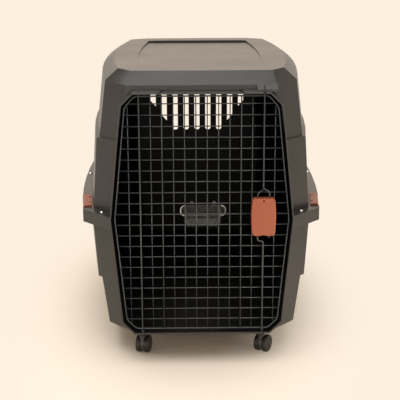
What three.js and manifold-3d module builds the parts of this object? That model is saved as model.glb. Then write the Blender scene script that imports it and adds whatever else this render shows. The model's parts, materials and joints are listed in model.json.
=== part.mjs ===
// Pet transport crate: two moulded shells bolted and clipped together at a flange, a wire
// grille door with a squeeze latch, a hanging water bowl and four twin-wheel swivel casters.
// Millimetres, +Z up, the door faces -Y, the wheels stand on z = 0.

import * as THREE from 'three';
import { mergeVertices } from 'three/addons/utils/BufferGeometryUtils.js';
import Module from 'manifold-3d';

const wasm = await Module();
wasm.setup();

// Casters
const WHEEL_R = 24;
const WHEEL_W = 13;
const WHEEL_SIDES = 18;
const HUB_GAP = 10;           // space between the two wheels of a caster
const TRAIL = 12;             // stem axis to axle
const CASTER_X = 162;
const CASTER_INSET = 20;      // stem axis from the front and rear edges of the floor
const STEM_R = 3.5;
const AXLE_R = 3;
const AXLE_SEAT = 8.7;        // how far the axle reaches into each wheel
const HOUSING_R = 21;
const SWIVEL_DISC_R = 9;
const SOCKET_DEPTH = 10.5;    // caster boss below the floor
const SOCKET_R = 17;
const UNDERSIDE_GAP = 14;     // wheel top to the underside of the floor
const CASTER_TURN = { front_left: -14, front_right: -30, rear_left: 0, rear_right: 0 };

// Sizes shared by several pieces
const WALL = 4;               // thickness of the moulded shells
const GAP = 0.3;              // clearance between pieces that touch
const SLIDE_GAP = 0.6;        // clearance round sliding rods
const SMALL_SIDES = 8;        // flats round small pins and knuckles
const HALF_LENGTH = 510;      // flange ends and door collar, from the middle
const PARTING = 405;          // underside of the upper shell's flange
const FLANGE_PLATE = 5;
const FLANGE_SKIRT = 29;      // depth of the lower shell's turned-down flange edge
const SKIRT_WALL = 3.5;
const FLANGE_REACH = 28;      // how far the flange stands out past the side wall
const FLANGE_BOW = 25;
const FLANGE_CORNER_Y = HALF_LENGTH - 92;
const FRONT_WALL = HALF_LENGTH - 23; // front and rear wall planes of the upper shell
const SIDE_STATIONS = 7;      // flats along each bowed side
const PAST = 60;              // how far cutting and limiting boxes reach past the crate

// Upper shell levels: heights, half widths at the corners and where the corners sit
const LEDGE_Z = 604;
const LEDGE_STEP = 8;
const ROOF_FRONT_Z = 784;
const ROOF_REAR_Z = ROOF_FRONT_Z - 13;
const SHOULDER_Z = ROOF_FRONT_Z - 37;
const CORNER_X = { roof: 210, shoulder: 244, ledge: 263, parting: 285 };
const CORNER_Y = {
  roof: FRONT_WALL - 47,
  shoulder: FRONT_WALL - 55,
  ledge: FRONT_WALL - 64,
  parting: FRONT_WALL - 75,
};
const SIDE_BOW = 28;
const SHOULDER_BOW = 31;
const ROOF_BOW = 30;

// Shallow recess in the roof, deeper towards the rear
const RECESS_HALF = 158;
const RECESS_BOW = 14;
const RECESS_FRONT = 102 - FRONT_WALL;
const RECESS_REAR = FRONT_WALL - 172;
const RECESS_DEPTH = 10.3;    // floor of the recess at the crate's middle, below the roof's front
const RECESS_SLOPE = -0.0229;

// Vents
const SLOT_WIDTH = 18;
const SLOT_TOP = 592;
const REAR_PITCH = 38.1;
const REAR_LOWS = [528, 478, 446, 446, 446, 446, 446, 478, 528];
const SIDE_PITCH = 42;
const SIDE_LOWS = [530, 490, 460, 460, 460, 460, 460, 490, 530];

// Lower shell levels
const FLOOR_Z = 62;
const CHAMFER_Z = 84;
const STEP_Z = 215;
const STEP_OUT = 8.5;
const RIM_BOW = 34;
const LOWER_CORNER_X = { floor: 226, chamfer: 251.5, step: 268.5, rim: 288.5 };
const LOWER_CORNER_Y = {
  floor: FRONT_WALL - 102,
  chamfer: FRONT_WALL - 85,
  step: FRONT_WALL - 83,
  rim: FRONT_WALL - 75,
};
const LOWER_END_Y = {
  floor: FRONT_WALL - 42,
  chamfer: FRONT_WALL - 19,
  step: FRONT_WALL - 13,
  rim: FRONT_WALL - 2,
};
const RIB_HEIGHT = 3;
const RIB_WIDTH = 8;
const RIB_PITCH = 72;
const RIB_COUNT = 6;
const RIB_HALF_LENGTH = FRONT_WALL - 157;

// Door opening and the raised collar around it
const OPENING_LOW = 94;
const OPENING_HIGH = SHOULDER_Z - 20;
const OPENING_FOOT = 177;
const OPENING_HEAD = 172;
const OPENING_WIDEST = 233;
const OPENING_CUT = 30;
const COLLAR_FRONT = 4;       // collar above and below the door: its front edge, and at the wall
const COLLAR_REAR = 10;
const COLLAR_SIDE_FRONT = 3;  // the same beside the door
const COLLAR_SIDE_REAR = 5;
const COLLAR_END = FRONT_WALL - 37;
const POCKET_DEPTH = 2.5;
const POCKET_FRONT = 109;
const POCKET_REAR = 96;
const GROOVE_WIDTH = 3;       // groove round the pocket's rear and ends
const GROOVE_DEPTH = 5;
const GROOVE_SETBACK = 8;     // from the collar's front edge
const PAD_LEFT = 18;          // raised pad behind the latch rod's upper tip, from the rod
const PAD_RIGHT = 34;
const PAD_REACH = 14;
const PAD_RISE = 13;

// Wire door
const PITCH = 28.6;           // mesh pitch, both ways
const WIRE = 3;
const FRAME_WIRE = 4;
const FRAME_INSET = 9;
const HEAD_INSET = 5.5;       // the frame's top wire lies closer to the collar than its sides do
const COLUMNS = 14;
const TOP_ROW_DROP = 24.6;    // first wire below the head of the opening
const DOOR_SETBACK = 10;      // horizontal wires behind the collar's front edge
const ROD_R = 2;
const FUSE = 0.3;             // how deep welded rods sink into the wires they cross
const HINGE_COLUMN = 1;
const LATCH_COLUMN = 12;
const STIFFENER_COLUMNS = [3, 10];
const GUIDE_ROWS = [1, 4, 6, 14, 16, 18];
const GUIDE_WIRE = 1.8;
const HINGE_GAP = 0.4;
const HINGE_TOP_REACH = 8;    // hinge rod above and below the opening
const HINGE_FOOT_REACH = 8;
const WASHER_R = 4;
const WASHER_H = 3;

// Latch
const LATCH_ROW = 10;         // door wire behind the middle of the latch
const COVER_HEIGHT = 100;
const COVER_HALF = 29;
const COVER_BARREL = 3;
const COVER_WALL = 3;
const COVER_STAND = 24;       // cover front ahead of the wires
const COVER_DEPTH = 17.5;
const LEG_OFFSET = 15;
const LEG_STAND = 13.5;       // rod legs ahead of the wires
const ROD_STAND = 4.4;
const GRIP_PLATE = 3;
const GRIP_LIP = 17.6;
const GRIP_HALF = 22;
const SHELF = 4;
const SHELF_HALF = 20;
const CARRIER_PLATE = 2.5;
const CARRIER_HALF = 26;
const LATCH_TIP_UP = 22;      // rod tips past the opening
const LATCH_TIP_DOWN = 8;
const BEND_UP = 21;           // where the rods bend sideways, from the cover's ends
const BEND_DOWN = 19;
const SPRING_R = 3.6;
const SPRING_WIRE_R = 0.6;
const SPRING_CURLS = 7;

// Bowl
const BOWL_X = 3;
const BOWL_RIM_HALF = 48;
const BOWL_FOOT_HALF = 45;
const BOWL_RIM_DROP = 30;     // rim and hanger below the wire that the bowl hangs on
const HANGER_DROP = 7;
const BOWL_HEIGHT = 35;
const BOWL_DEPTH = 78;
const BOWL_WALL = 2.5;
const HANGER_HALF = 59;
const HANGER_PLATE = 3;
const HOOK_WIDTH = 8;
const HOOK_ROW = 9;

// Clips along the flange and the bolts through it
const CLIP_Y = FLANGE_CORNER_Y - 74;
const CLIP_LENGTH = 112;
const CLIP_SEAT = 5.5;        // depth of the recess in the flange edge that each clip lies in
const SEAT_END_GAP = 1;
const CLIP_WALL = 3.5;
const CLIP_TOP = 5;
const CLIP_REACH = 18;
const CLIP_NOTCH_WIDTH = 8;
const CLIP_NOTCH_DEPTH = 7;
const KNUCKLE_R = 3.4;
const KNUCKLE_NEAR = 14;
const KNUCKLE_FAR = CLIP_LENGTH / 2 - 8;
const LUG_HALF = 8;
const LUG_END = CLIP_LENGTH / 2 - 1;
const PIN_R = 1.5;
const PIN_DROP = 4.2;         // pin below the skirt's edge
const BOLT_R = 3;
const HEAD_R = 5.5;
const HEAD_H = 4;
const BOLT_CORNER = [260, HALF_LENGTH - 54];
const BOLT_SIDE_Y = -20;
const NUT_H = 22;
const WING_SPAN = 12;
const WING_THICK = 3;

// Positions that follow from the sizes
const BODY_LIFT = 2 * WHEEL_R + UNDERSIDE_GAP - FLOOR_Z;
const CASTER_Y = LOWER_END_Y.floor - CASTER_INSET;
const SOCKET_Z = FLOOR_Z - SOCKET_DEPTH;
const RECESS_Z = ROOF_FRONT_Z - RECESS_DEPTH;
const FLANGE_SIDE = CORNER_X.parting + FLANGE_REACH + FLANGE_BOW;
const BOLT_SIDE = [(LOWER_CORNER_X.rim + RIM_BOW + FLANGE_SIDE - SKIRT_WALL) / 2, BOLT_SIDE_Y];
const SKIRT_Z = PARTING - GAP - FLANGE_SKIRT;
const WIRE_Y = -HALF_LENGTH + DOOR_SETBACK;
const HINGE_Y = WIRE_Y - WIRE / 2 - ROD_R + FUSE;
const ROD_Y = WIRE_Y - ROD_STAND;
const LEG_Y = WIRE_Y - LEG_STAND;
const columnX = (column) => (column - (COLUMNS - 1) / 2) * PITCH;
const rowZ = (row) => OPENING_HIGH - TOP_ROW_DROP - row * PITCH;
const ROWS = 1 + Math.floor((rowZ(0) - OPENING_LOW - FRAME_INSET - WIRE) / PITCH);
const BOWL_RIM_Z = rowZ(HOOK_ROW) - BOWL_RIM_DROP;
const HANGER_TOP_Z = rowZ(HOOK_ROW) - HANGER_DROP;
const HINGE_X = columnX(HINGE_COLUMN);
const LATCH_X = columnX(LATCH_COLUMN);
const COVER_LOW = rowZ(LATCH_ROW) - COVER_HEIGHT / 2 - 4;
const COVER_HIGH = COVER_LOW + COVER_HEIGHT;
const COVER_FRONT = WIRE_Y - COVER_STAND;
const COVER_BACK = COVER_FRONT + COVER_DEPTH;
const SHELF_Z = rowZ(LATCH_ROW) - 3.4;
const GRIP_Z = COVER_LOW + COVER_WALL + 0.4;
const LEFT_LEG = LATCH_X - LEG_OFFSET;
const RIGHT_LEG = LATCH_X + LEG_OFFSET;

// Materials
const plastic = (color, roughness) => () => new THREE.MeshStandardMaterial({ color, roughness, metalness: 0 });
const metal = (color, roughness) => () => new THREE.MeshStandardMaterial({ color, roughness, metalness: 1 });
const SHELL = plastic(0x4a4743, 0.55);
const WIRE_COAT = plastic(0x4b4b48, 0.45);
const ORANGE = plastic(0xb25f3e, 0.5);
const PALE_ORANGE = plastic(0xc88c78, 0.5);
const BLACK = plastic(0x2a2726, 0.5);
const RUBBER = plastic(0x3c3432, 0.7);
const STEEL = metal(0xc9c9c6, 0.3);
const CLEAR = () => new THREE.MeshStandardMaterial({
  color: 0x8c8c8a, roughness: 0.2, metalness: 0, transparent: true, opacity: 0.5,
});

// Turning geometries into solids and back

function solidOf(geometry) {
  const bare = geometry.clone();
  bare.deleteAttribute('normal');
  bare.deleteAttribute('uv');
  const merged = mergeVertices(bare, 1e-4);
  const corners = [];
  for (let i = 0; i < merged.index.count; i += 3) {
    const [a, b, c] = [0, 1, 2].map((k) => merged.index.getX(i + k));
    if (a !== b && b !== c && c !== a) {
      corners.push(a, b, c);
    }
  }
  const vertProperties = new Float32Array(merged.attributes.position.array);
  return new wasm.Manifold(new wasm.Mesh({ numProp: 3, vertProperties, triVerts: new Uint32Array(corners) }));
}

function geometryOf(solid) {
  const mesh = solid.getMesh();
  const geometry = new THREE.BufferGeometry();
  geometry.setAttribute('position', new THREE.BufferAttribute(new Float32Array(mesh.vertProperties), 3));
  geometry.setIndex(new THREE.BufferAttribute(new Uint32Array(mesh.triVerts), 1));
  geometry.computeVertexNormals();
  return geometry;
}

const join = (solids) => solids.reduce((whole, next) => whole.add(next));
const cut = (solid, tools) => tools.reduce((whole, next) => whole.subtract(next), solid);
const placed = (solid, matrix) => solidOf(geometryOf(solid).applyMatrix4(matrix));

function box(x0, x1, y0, y1, z0, z1) {
  const geometry = new THREE.BoxGeometry(x1 - x0, y1 - y0, z1 - z0);
  geometry.translate((x0 + x1) / 2, (y0 + y1) / 2, (z0 + z1) / 2);
  return solidOf(geometry);
}

// A round bar or cone standing on z0, narrowing from rLow to rHigh
function upright(x, y, z0, z1, rLow, rHigh = rLow, sides = SMALL_SIDES) {
  const geometry = new THREE.CylinderGeometry(rHigh, rLow, z1 - z0, sides);
  geometry.rotateX(Math.PI / 2);
  geometry.translate(x, y, (z0 + z1) / 2);
  return solidOf(geometry);
}

function circle(radius, sides, centre = [0, 0]) {
  return Array.from({ length: sides }, (_, i) => {
    const angle = (i * 2 * Math.PI) / sides;
    return [centre[0] + radius * Math.cos(angle), centre[1] + radius * Math.sin(angle)];
  });
}

function extruded(points, depth) {
  const shape = new THREE.Shape(points.map(([a, b]) => new THREE.Vector2(a, b)));
  return new THREE.ExtrudeGeometry(shape, { depth, bevelEnabled: false });
}

// An outline in X and Z, extruded from y0 to y1
function frontPrism(points, y0, y1) {
  const geometry = extruded(points, y1 - y0);
  geometry.rotateX(Math.PI / 2);
  geometry.translate(0, y1, 0);
  return solidOf(geometry);
}

// An outline in Y and Z, extruded from x0 to x1
function sidePrism(points, x0, x1) {
  const geometry = extruded(points, x1 - x0);
  geometry.rotateX(Math.PI / 2);
  geometry.rotateZ(Math.PI / 2);
  geometry.translate(x0, 0, 0);
  return solidOf(geometry);
}

// An outline in plan, extruded from z0 to z1 and tilted so that it rises by slope along Y
function planPrism(points, z0, z1, slope = 0) {
  const geometry = extruded(points, z1 - z0);
  geometry.translate(0, 0, z0);
  geometry.applyMatrix4(new THREE.Matrix4().makeShear(0, 0, 0, slope, 0, 0));
  return solidOf(geometry);
}

// A closed skin over rings that have the same number of points, listed from the bottom up
function loftGeometry(rings) {
  const count = rings[0].length;
  const points = rings.flat();
  const faces = [];
  for (let level = 0; level + 1 < rings.length; level += 1) {
    for (let i = 0; i < count; i += 1) {
      const a = level * count + i;
      const b = level * count + (i + 1) % count;
      faces.push(a, b, b + count, a, b + count, a + count);
    }
  }
  for (const level of [0, rings.length - 1]) {
    const middle = rings[level].reduce((sum, p) => sum.add(p), new THREE.Vector3()).divideScalar(count);
    const hub = points.push(middle) - 1;
    for (let i = 0; i < count; i += 1) {
      const a = level * count + i;
      const b = level * count + (i + 1) % count;
      faces.push(...(level === 0 ? [hub, b, a] : [hub, a, b]));
    }
  }
  const geometry = new THREE.BufferGeometry();
  const position = new THREE.Float32BufferAttribute(points.flatMap((p) => [p.x, p.y, p.z]), 3);
  geometry.setAttribute('position', position);
  geometry.setIndex(faces);
  return geometry;
}

const loft = (rings) => solidOf(loftGeometry(rings));

// Moves each point of a closed outline sideways by distance, positive outwards
function offsetOutline(points, distance) {
  const count = points.length;
  const normal = (p, q) => {
    const dx = q[0] - p[0];
    const dy = q[1] - p[1];
    const length = Math.hypot(dx, dy);
    return [dy / length, -dx / length];
  };
  return points.map((point, i) => {
    const before = normal(points[(i + count - 1) % count], point);
    const after = normal(point, points[(i + 1) % count]);
    const scale = distance / (1 + before[0] * after[0] + before[1] * after[1]);
    return [point[0] + (before[0] + after[0]) * scale, point[1] + (before[1] + after[1]) * scale];
  });
}

const outlineOf = (ring) => ring.map((p) => [p.x, p.y]);

function offsetRing(ring, distance, lift = 0) {
  const outline = offsetOutline(outlineOf(ring), distance);
  return ring.map((p, i) => new THREE.Vector3(outline[i][0], outline[i][1], p.z + lift));
}

const flattenRing = (ring, z) => ring.map((p) => new THREE.Vector3(p.x, p.y, z));

// Outlines in X and Z joined through steps of [outline, y], from the rear to the front
function frontLoft(steps) {
  const rings = steps.map(([outline, y]) => outline.map(([x, z]) => new THREE.Vector3(x, z, -y)));
  const geometry = loftGeometry(rings);
  geometry.rotateX(Math.PI / 2);
  return solidOf(geometry);
}

// Rounds the corners of a path of straight runs
function eased(path, reach, steps = 2) {
  const points = path.map((p) => new THREE.Vector3(...p));
  const rounded = points.slice(1, -1).flatMap((corner, k) => {
    const back = points[k].clone().sub(corner).setLength(reach).add(corner);
    const ahead = points[k + 2].clone().sub(corner).setLength(reach).add(corner);
    return new THREE.QuadraticBezierCurve3(back, corner, ahead).getPoints(steps);
  });
  return [points[0], ...rounded, points.at(-1)];
}

// A round bar along a path, mitred wherever the path turns
function rodGeometry(points, radius, sides = 8) {
  const run = (i) => points[i + 1].clone().sub(points[i]).normalize();
  const turn = new THREE.Quaternion().setFromUnitVectors(new THREE.Vector3(0, 0, 1), run(0));
  const first = circle(radius, sides).map(([x, y]) => (
    new THREE.Vector3(x, y, 0).applyQuaternion(turn).add(points[0])
  ));
  const rings = [first];
  for (let i = 1; i < points.length; i += 1) {
    const along = run(i - 1);
    const plane = i + 1 < points.length ? along.clone().add(run(i)).normalize() : along;
    rings.push(rings[i - 1].map((p) => {
      const reach = points[i].clone().sub(p).dot(plane) / along.dot(plane);
      return p.clone().addScaledVector(along, reach);
    }));
  }
  return loftGeometry(rings);
}

const rod = (path, radius, reach = 5) => solidOf(rodGeometry(eased(path, reach), radius));

// A ring around the crate: straight front and rear edges, cut corners and bowed sides.
// Each corner point is [x, y, z]; the sides swell by bow between the corners.
function crateRing({ front, frontCorner, rearCorner, rear, bow, frontCrown = 0, rearCrown = 0 }) {
  const half = [[0, front[1] - frontCrown, front[2]], front, frontCorner];
  for (let i = 1; i < SIDE_STATIONS; i += 1) {
    const t = i / SIDE_STATIONS;
    const at = frontCorner.map((value, k) => value + (rearCorner[k] - value) * t);
    half.push([at[0] + bow * (1 - (2 * t - 1) ** 2), at[1], at[2]]);
  }
  half.push(rearCorner, rear, [0, rear[1] + rearCrown, rear[2]]);
  const other = half.slice(1, -1).reverse().map(([x, y, z]) => [-x, y, z]);
  return [...half, ...other].map(([x, y, z]) => new THREE.Vector3(x, y, z));
}

// A ring that is the same at the front and the rear, its corners cut back at 45 degrees
function evenRing(cornerX, cornerY, endY, z, bow) {
  const cutX = cornerX - (endY - cornerY);
  return crateRing({
    front: [cutX, -endY, z],
    frontCorner: [cornerX, -cornerY, z],
    rearCorner: [cornerX, cornerY, z],
    rear: [cutX, endY, z],
    bow,
  });
}

// Rings of the upper shell

const roofRing = crateRing({
  front: [178, -CORNER_Y.roof - 22, ROOF_FRONT_Z - 3.5],
  frontCorner: [CORNER_X.roof, -CORNER_Y.roof, ROOF_FRONT_Z],
  rearCorner: [CORNER_X.roof + 7, CORNER_Y.roof - 56, ROOF_REAR_Z],
  rear: [165, CORNER_Y.roof - 46, ROOF_REAR_Z + 2],
  bow: ROOF_BOW,
  frontCrown: 4,
  rearCrown: 4,
});
const shoulderCut = CORNER_X.shoulder - (FRONT_WALL - CORNER_Y.shoulder);
const shoulderRing = crateRing({
  front: [shoulderCut, -FRONT_WALL, SHOULDER_Z],
  frontCorner: [CORNER_X.shoulder, -CORNER_Y.shoulder, SHOULDER_Z + 6],
  rearCorner: [CORNER_X.shoulder, CORNER_Y.shoulder, SHOULDER_Z + 6],
  rear: [shoulderCut, FRONT_WALL, SHOULDER_Z],
  bow: SHOULDER_BOW,
});
const ledgeTop = evenRing(CORNER_X.ledge, CORNER_Y.ledge, FRONT_WALL, LEDGE_Z + 2, SIDE_BOW);
const ledgeFoot = evenRing(
  CORNER_X.ledge + LEDGE_STEP,
  CORNER_Y.ledge + 1,
  FRONT_WALL + LEDGE_STEP / 2,
  LEDGE_Z,
  SIDE_BOW,
);
const partingRing = evenRing(CORNER_X.parting, CORNER_Y.parting, FRONT_WALL, PARTING, SIDE_BOW);

// Rings of the lower shell

const lowerRing = (level, z, bow, grow = 0) => evenRing(
  LOWER_CORNER_X[level] + grow,
  LOWER_CORNER_Y[level] + grow,
  LOWER_END_Y[level] + grow,
  z,
  bow,
);
const floorRing = lowerRing('floor', FLOOR_Z, 20);
const chamferRing = lowerRing('chamfer', CHAMFER_Z, 24);
const stepFoot = lowerRing('step', STEP_Z, 28);
const stepTop = lowerRing('step', STEP_Z + 6, 30, STEP_OUT);
const rimRing = lowerRing('rim', PARTING - GAP, RIM_BOW);

// Outlines that both shells share

const flangeRing = crateRing({
  front: [OPENING_WIDEST, -HALF_LENGTH, PARTING],
  frontCorner: [CORNER_X.parting + FLANGE_REACH, -FLANGE_CORNER_Y, PARTING],
  rearCorner: [CORNER_X.parting + FLANGE_REACH, FLANGE_CORNER_Y, PARTING],
  rear: [OPENING_WIDEST, HALF_LENGTH, PARTING],
  bow: FLANGE_BOW,
});

// Where each clip stands: on the flat of the flange edge next to each corner, turned to face out
const [, , edgeStart, edgeEnd] = flangeRing;
const edgeLean = Math.atan2(edgeEnd.x - edgeStart.x, edgeEnd.y - edgeStart.y);
const edgeX = edgeStart.x + (FLANGE_CORNER_Y - CLIP_Y) * Math.tan(edgeLean);
const clipPlaces = {
  front_right: [edgeX, -CLIP_Y, -edgeLean],
  rear_right: [edgeX, CLIP_Y, edgeLean],
  front_left: [-edgeX, -CLIP_Y, Math.PI + edgeLean],
  rear_left: [-edgeX, CLIP_Y, Math.PI - edgeLean],
};
const clipMatrix = ([x, y, turn], inset = CLIP_SEAT) => (
  new THREE.Matrix4().makeRotationZ(turn).setPosition(
    x - inset * Math.cos(turn), y - inset * Math.sin(turn), 0)
);

// The flange in plan, drawn in by inset, its edge stepped in at each clip
function flangePlan(inset, z0, z1) {
  const half = CLIP_LENGTH / 2 + SEAT_END_GAP + inset;
  const seat = box(-CLIP_SEAT - inset, PAST, -half, half, z0 - 1, z1 + 1);
  return cut(
    planPrism(offsetOutline(outlineOf(flangeRing), -inset), z0, z1),
    Object.values(clipPlaces).map((place) => placed(seat, clipMatrix(place, 0))),
  );
}

const openingHalf = [
  [OPENING_FOOT, OPENING_LOW],
  [OPENING_FOOT + OPENING_CUT, OPENING_LOW + OPENING_CUT],
  [OPENING_WIDEST, PARTING - 2],
  [OPENING_HEAD + OPENING_CUT, OPENING_HIGH - OPENING_CUT],
  [OPENING_HEAD, OPENING_HIGH],
];
const openingOutline = [...openingHalf, ...openingHalf.slice().reverse().map(([x, z]) => [-x, z])];
const doorCut = frontPrism(openingOutline, -HALF_LENGTH - 20, -COLLAR_END + 5);

// The opening grown by side, except at its head and foot, which grow by ends
function collarOutline(side, ends) {
  return offsetOutline(openingOutline, side).map(([x, z]) => {
    if (z > OPENING_HIGH - OPENING_CUT / 2) {
      return [x, z + ends - side];
    }
    return [x, z < OPENING_LOW + OPENING_CUT / 2 ? z + side - ends : z];
  });
}

// The raised collar that frames the door: thin at its front edge, deeper where it meets the wall
const collar = frontLoft([
  [collarOutline(COLLAR_SIDE_REAR, COLLAR_REAR), -COLLAR_END],
  [collarOutline(COLLAR_SIDE_REAR, COLLAR_REAR), -FRONT_WALL],
  [collarOutline(COLLAR_SIDE_FRONT, COLLAR_FRONT), -HALF_LENGTH],
]);

// Holes through the collar above or below the opening: round for the hinge rod, and open to the
// front for the latch rod, which swings out that way with the door
function collarHoles(z) {
  const reach = COLLAR_REAR + 4;
  const latchHole = ROD_R + SLIDE_GAP;
  return [
    upright(HINGE_X, HINGE_Y, z - reach, z + reach, ROD_R + HINGE_GAP),
    upright(LATCH_X, ROD_Y, z - reach, z + reach, latchHole),
    box(LATCH_X - latchHole, LATCH_X + latchHole, -HALF_LENGTH - 1, ROD_Y, z - reach, z + reach),
  ];
}

const boltPlaces = [
  [BOLT_CORNER[0], -BOLT_CORNER[1]],
  [-BOLT_CORNER[0], -BOLT_CORNER[1]],
  BOLT_CORNER,
  [-BOLT_CORNER[0], BOLT_CORNER[1]],
  BOLT_SIDE,
  [-BOLT_SIDE[0], BOLT_SIDE[1]],
];
const boltHoles = boltPlaces.map(([x, y]) => (
  upright(x, y, PARTING - 3 * FLANGE_PLATE, PARTING + 3 * FLANGE_PLATE, BOLT_R + GAP)
));

// Vertical slots whose lower ends follow a stepped arch, slanted near its ends
function ventOutlines(pitch, lows) {
  const middle = (lows.length - 1) / 2;
  const nose = SLOT_WIDTH / 4;
  return lows.map((low, i) => {
    const near = (i - middle) * pitch - SLOT_WIDTH / 2;
    const far = near + SLOT_WIDTH;
    const slant = Math.abs(i - middle) > 2 ? SLOT_WIDTH * 1.1 : 0;
    const round = [[near, low + nose], [near + nose, low], [far - nose, low], [far, low + nose]];
    const slanted = [[near, i < middle ? low + slant : low], [far, i > middle ? low + slant : low]];
    const head = [
      [far, SLOT_TOP - nose],
      [far - nose, SLOT_TOP],
      [near + nose, SLOT_TOP],
      [near, SLOT_TOP - nose],
    ];
    return [...(slant ? slanted : round), ...head];
  });
}

// Upper shell: bowed walls, ledge, recessed roof, vents, upper half of the collar and the flange

function recessOutline(grow) {
  const stations = 8;
  const side = Array.from({ length: stations + 1 }, (_, i) => {
    const y = RECESS_FRONT + ((RECESS_REAR - RECESS_FRONT) * i) / stations;
    const swell = 1 - ((2 * i) / stations - 1) ** 2;
    return [RECESS_HALF + RECESS_BOW * swell, y];
  });
  const outline = [...side, ...side.slice().reverse().map(([x, y]) => [-x, y])];
  return offsetOutline(outline, grow);
}

function upperShell() {
  const skin = loft([partingRing, ledgeFoot, ledgeTop, shoulderRing, roofRing]);
  const plate = flangePlan(0, PARTING, PARTING + FLANGE_PLATE);
  const above = box(
    -FLANGE_SIDE - PAST, FLANGE_SIDE + PAST, -HALF_LENGTH - PAST, 0, PARTING, OPENING_HIGH + PAST);
  const hollow = loft([
    flattenRing(offsetRing(partingRing, -WALL), PARTING - 10),
    offsetRing(ledgeFoot, -WALL, -WALL),
    offsetRing(ledgeTop, -WALL, -WALL),
    offsetRing(shoulderRing, -WALL, -WALL / 2),
    offsetRing(roofRing, -WALL, -WALL),
  ]);
  const underRecess = planPrism(recessOutline(WALL), RECESS_Z - WALL, RECESS_Z + 40, RECESS_SLOPE);
  const rearSlots = ventOutlines(REAR_PITCH, REAR_LOWS).map((points) => (
    frontPrism(points, FRONT_WALL - 20, FRONT_WALL + 20)
  ));
  const sideReach = [CORNER_X.ledge - 40, CORNER_X.parting + SIDE_BOW + 20];
  const sideSlots = ventOutlines(SIDE_PITCH, SIDE_LOWS).flatMap((points) => [
    sidePrism(points, sideReach[0], sideReach[1]),
    sidePrism(points, -sideReach[1], -sideReach[0]),
  ]);
  const rise = (COLLAR_REAR - COLLAR_FRONT) / (HALF_LENGTH - FRONT_WALL);
  const collarTop = OPENING_HIGH + COLLAR_FRONT + rise * HALF_LENGTH;
  const pocket = (inset, depth) => planPrism([
    [inset - POCKET_FRONT, -HALF_LENGTH - 1],
    [POCKET_FRONT - inset, -HALF_LENGTH - 1],
    [POCKET_REAR - inset, -FRONT_WALL - inset],
    [inset - POCKET_REAR, -FRONT_WALL - inset],
  ], collarTop - depth, collarTop + 20, rise);
  const groove = cut(pocket(0, GROOVE_DEPTH), [
    pocket(GROOVE_WIDTH, GROOVE_DEPTH + 1),
    box(-POCKET_FRONT, POCKET_FRONT, -HALF_LENGTH - 2, -HALF_LENGTH + GROOVE_SETBACK,
      OPENING_HIGH - 2, OPENING_HIGH + PAST),
  ]);
  const padFoot = OPENING_HIGH + COLLAR_FRONT;
  const padTop = OPENING_HIGH + COLLAR_REAR + PAD_RISE;
  const pad = sidePrism([
    [-FRONT_WALL + WALL, padFoot],
    [-FRONT_WALL + WALL, padTop],
    [-FRONT_WALL - 3, padTop],
    [-FRONT_WALL - PAD_REACH, OPENING_HIGH + COLLAR_REAR],
    [-FRONT_WALL - PAD_REACH, padFoot],
  ], LATCH_X - PAD_LEFT, LATCH_X + PAD_RIGHT);
  return cut(join([skin, plate, collar.intersect(above), pad]), [
    hollow.subtract(underRecess),
    doorCut,
    planPrism(recessOutline(0), RECESS_Z, RECESS_Z + PAST, RECESS_SLOPE),
    pocket(0, POCKET_DEPTH),
    groove,
    ...rearSlots,
    ...sideSlots,
    ...collarHoles(OPENING_HIGH + 5),
    ...boltHoles,
  ]);
}

// Lower shell: tray with a stepped wall, lower half of the collar, skirted flange, clip lugs,
// floor ribs and caster sockets

function clipLug(y0, y1) {
  const pinX = GAP + CLIP_WALL / 2;
  const pinZ = SKIRT_Z - PIN_DROP;
  const foot = pinZ - KNUCKLE_R;
  return cut(join([
    box(-SKIRT_WALL, 0, y0, y1, foot, SKIRT_Z + 1),
    box(-SKIRT_WALL, pinX, y0, y1, foot, pinZ + KNUCKLE_R),
    frontPrism(circle(KNUCKLE_R, SMALL_SIDES, [pinX, pinZ]), y0, y1),
  ]), [frontPrism(circle(PIN_R + GAP, SMALL_SIDES, [pinX, pinZ]), y0 - 1, y1 + 1)]);
}

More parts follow.
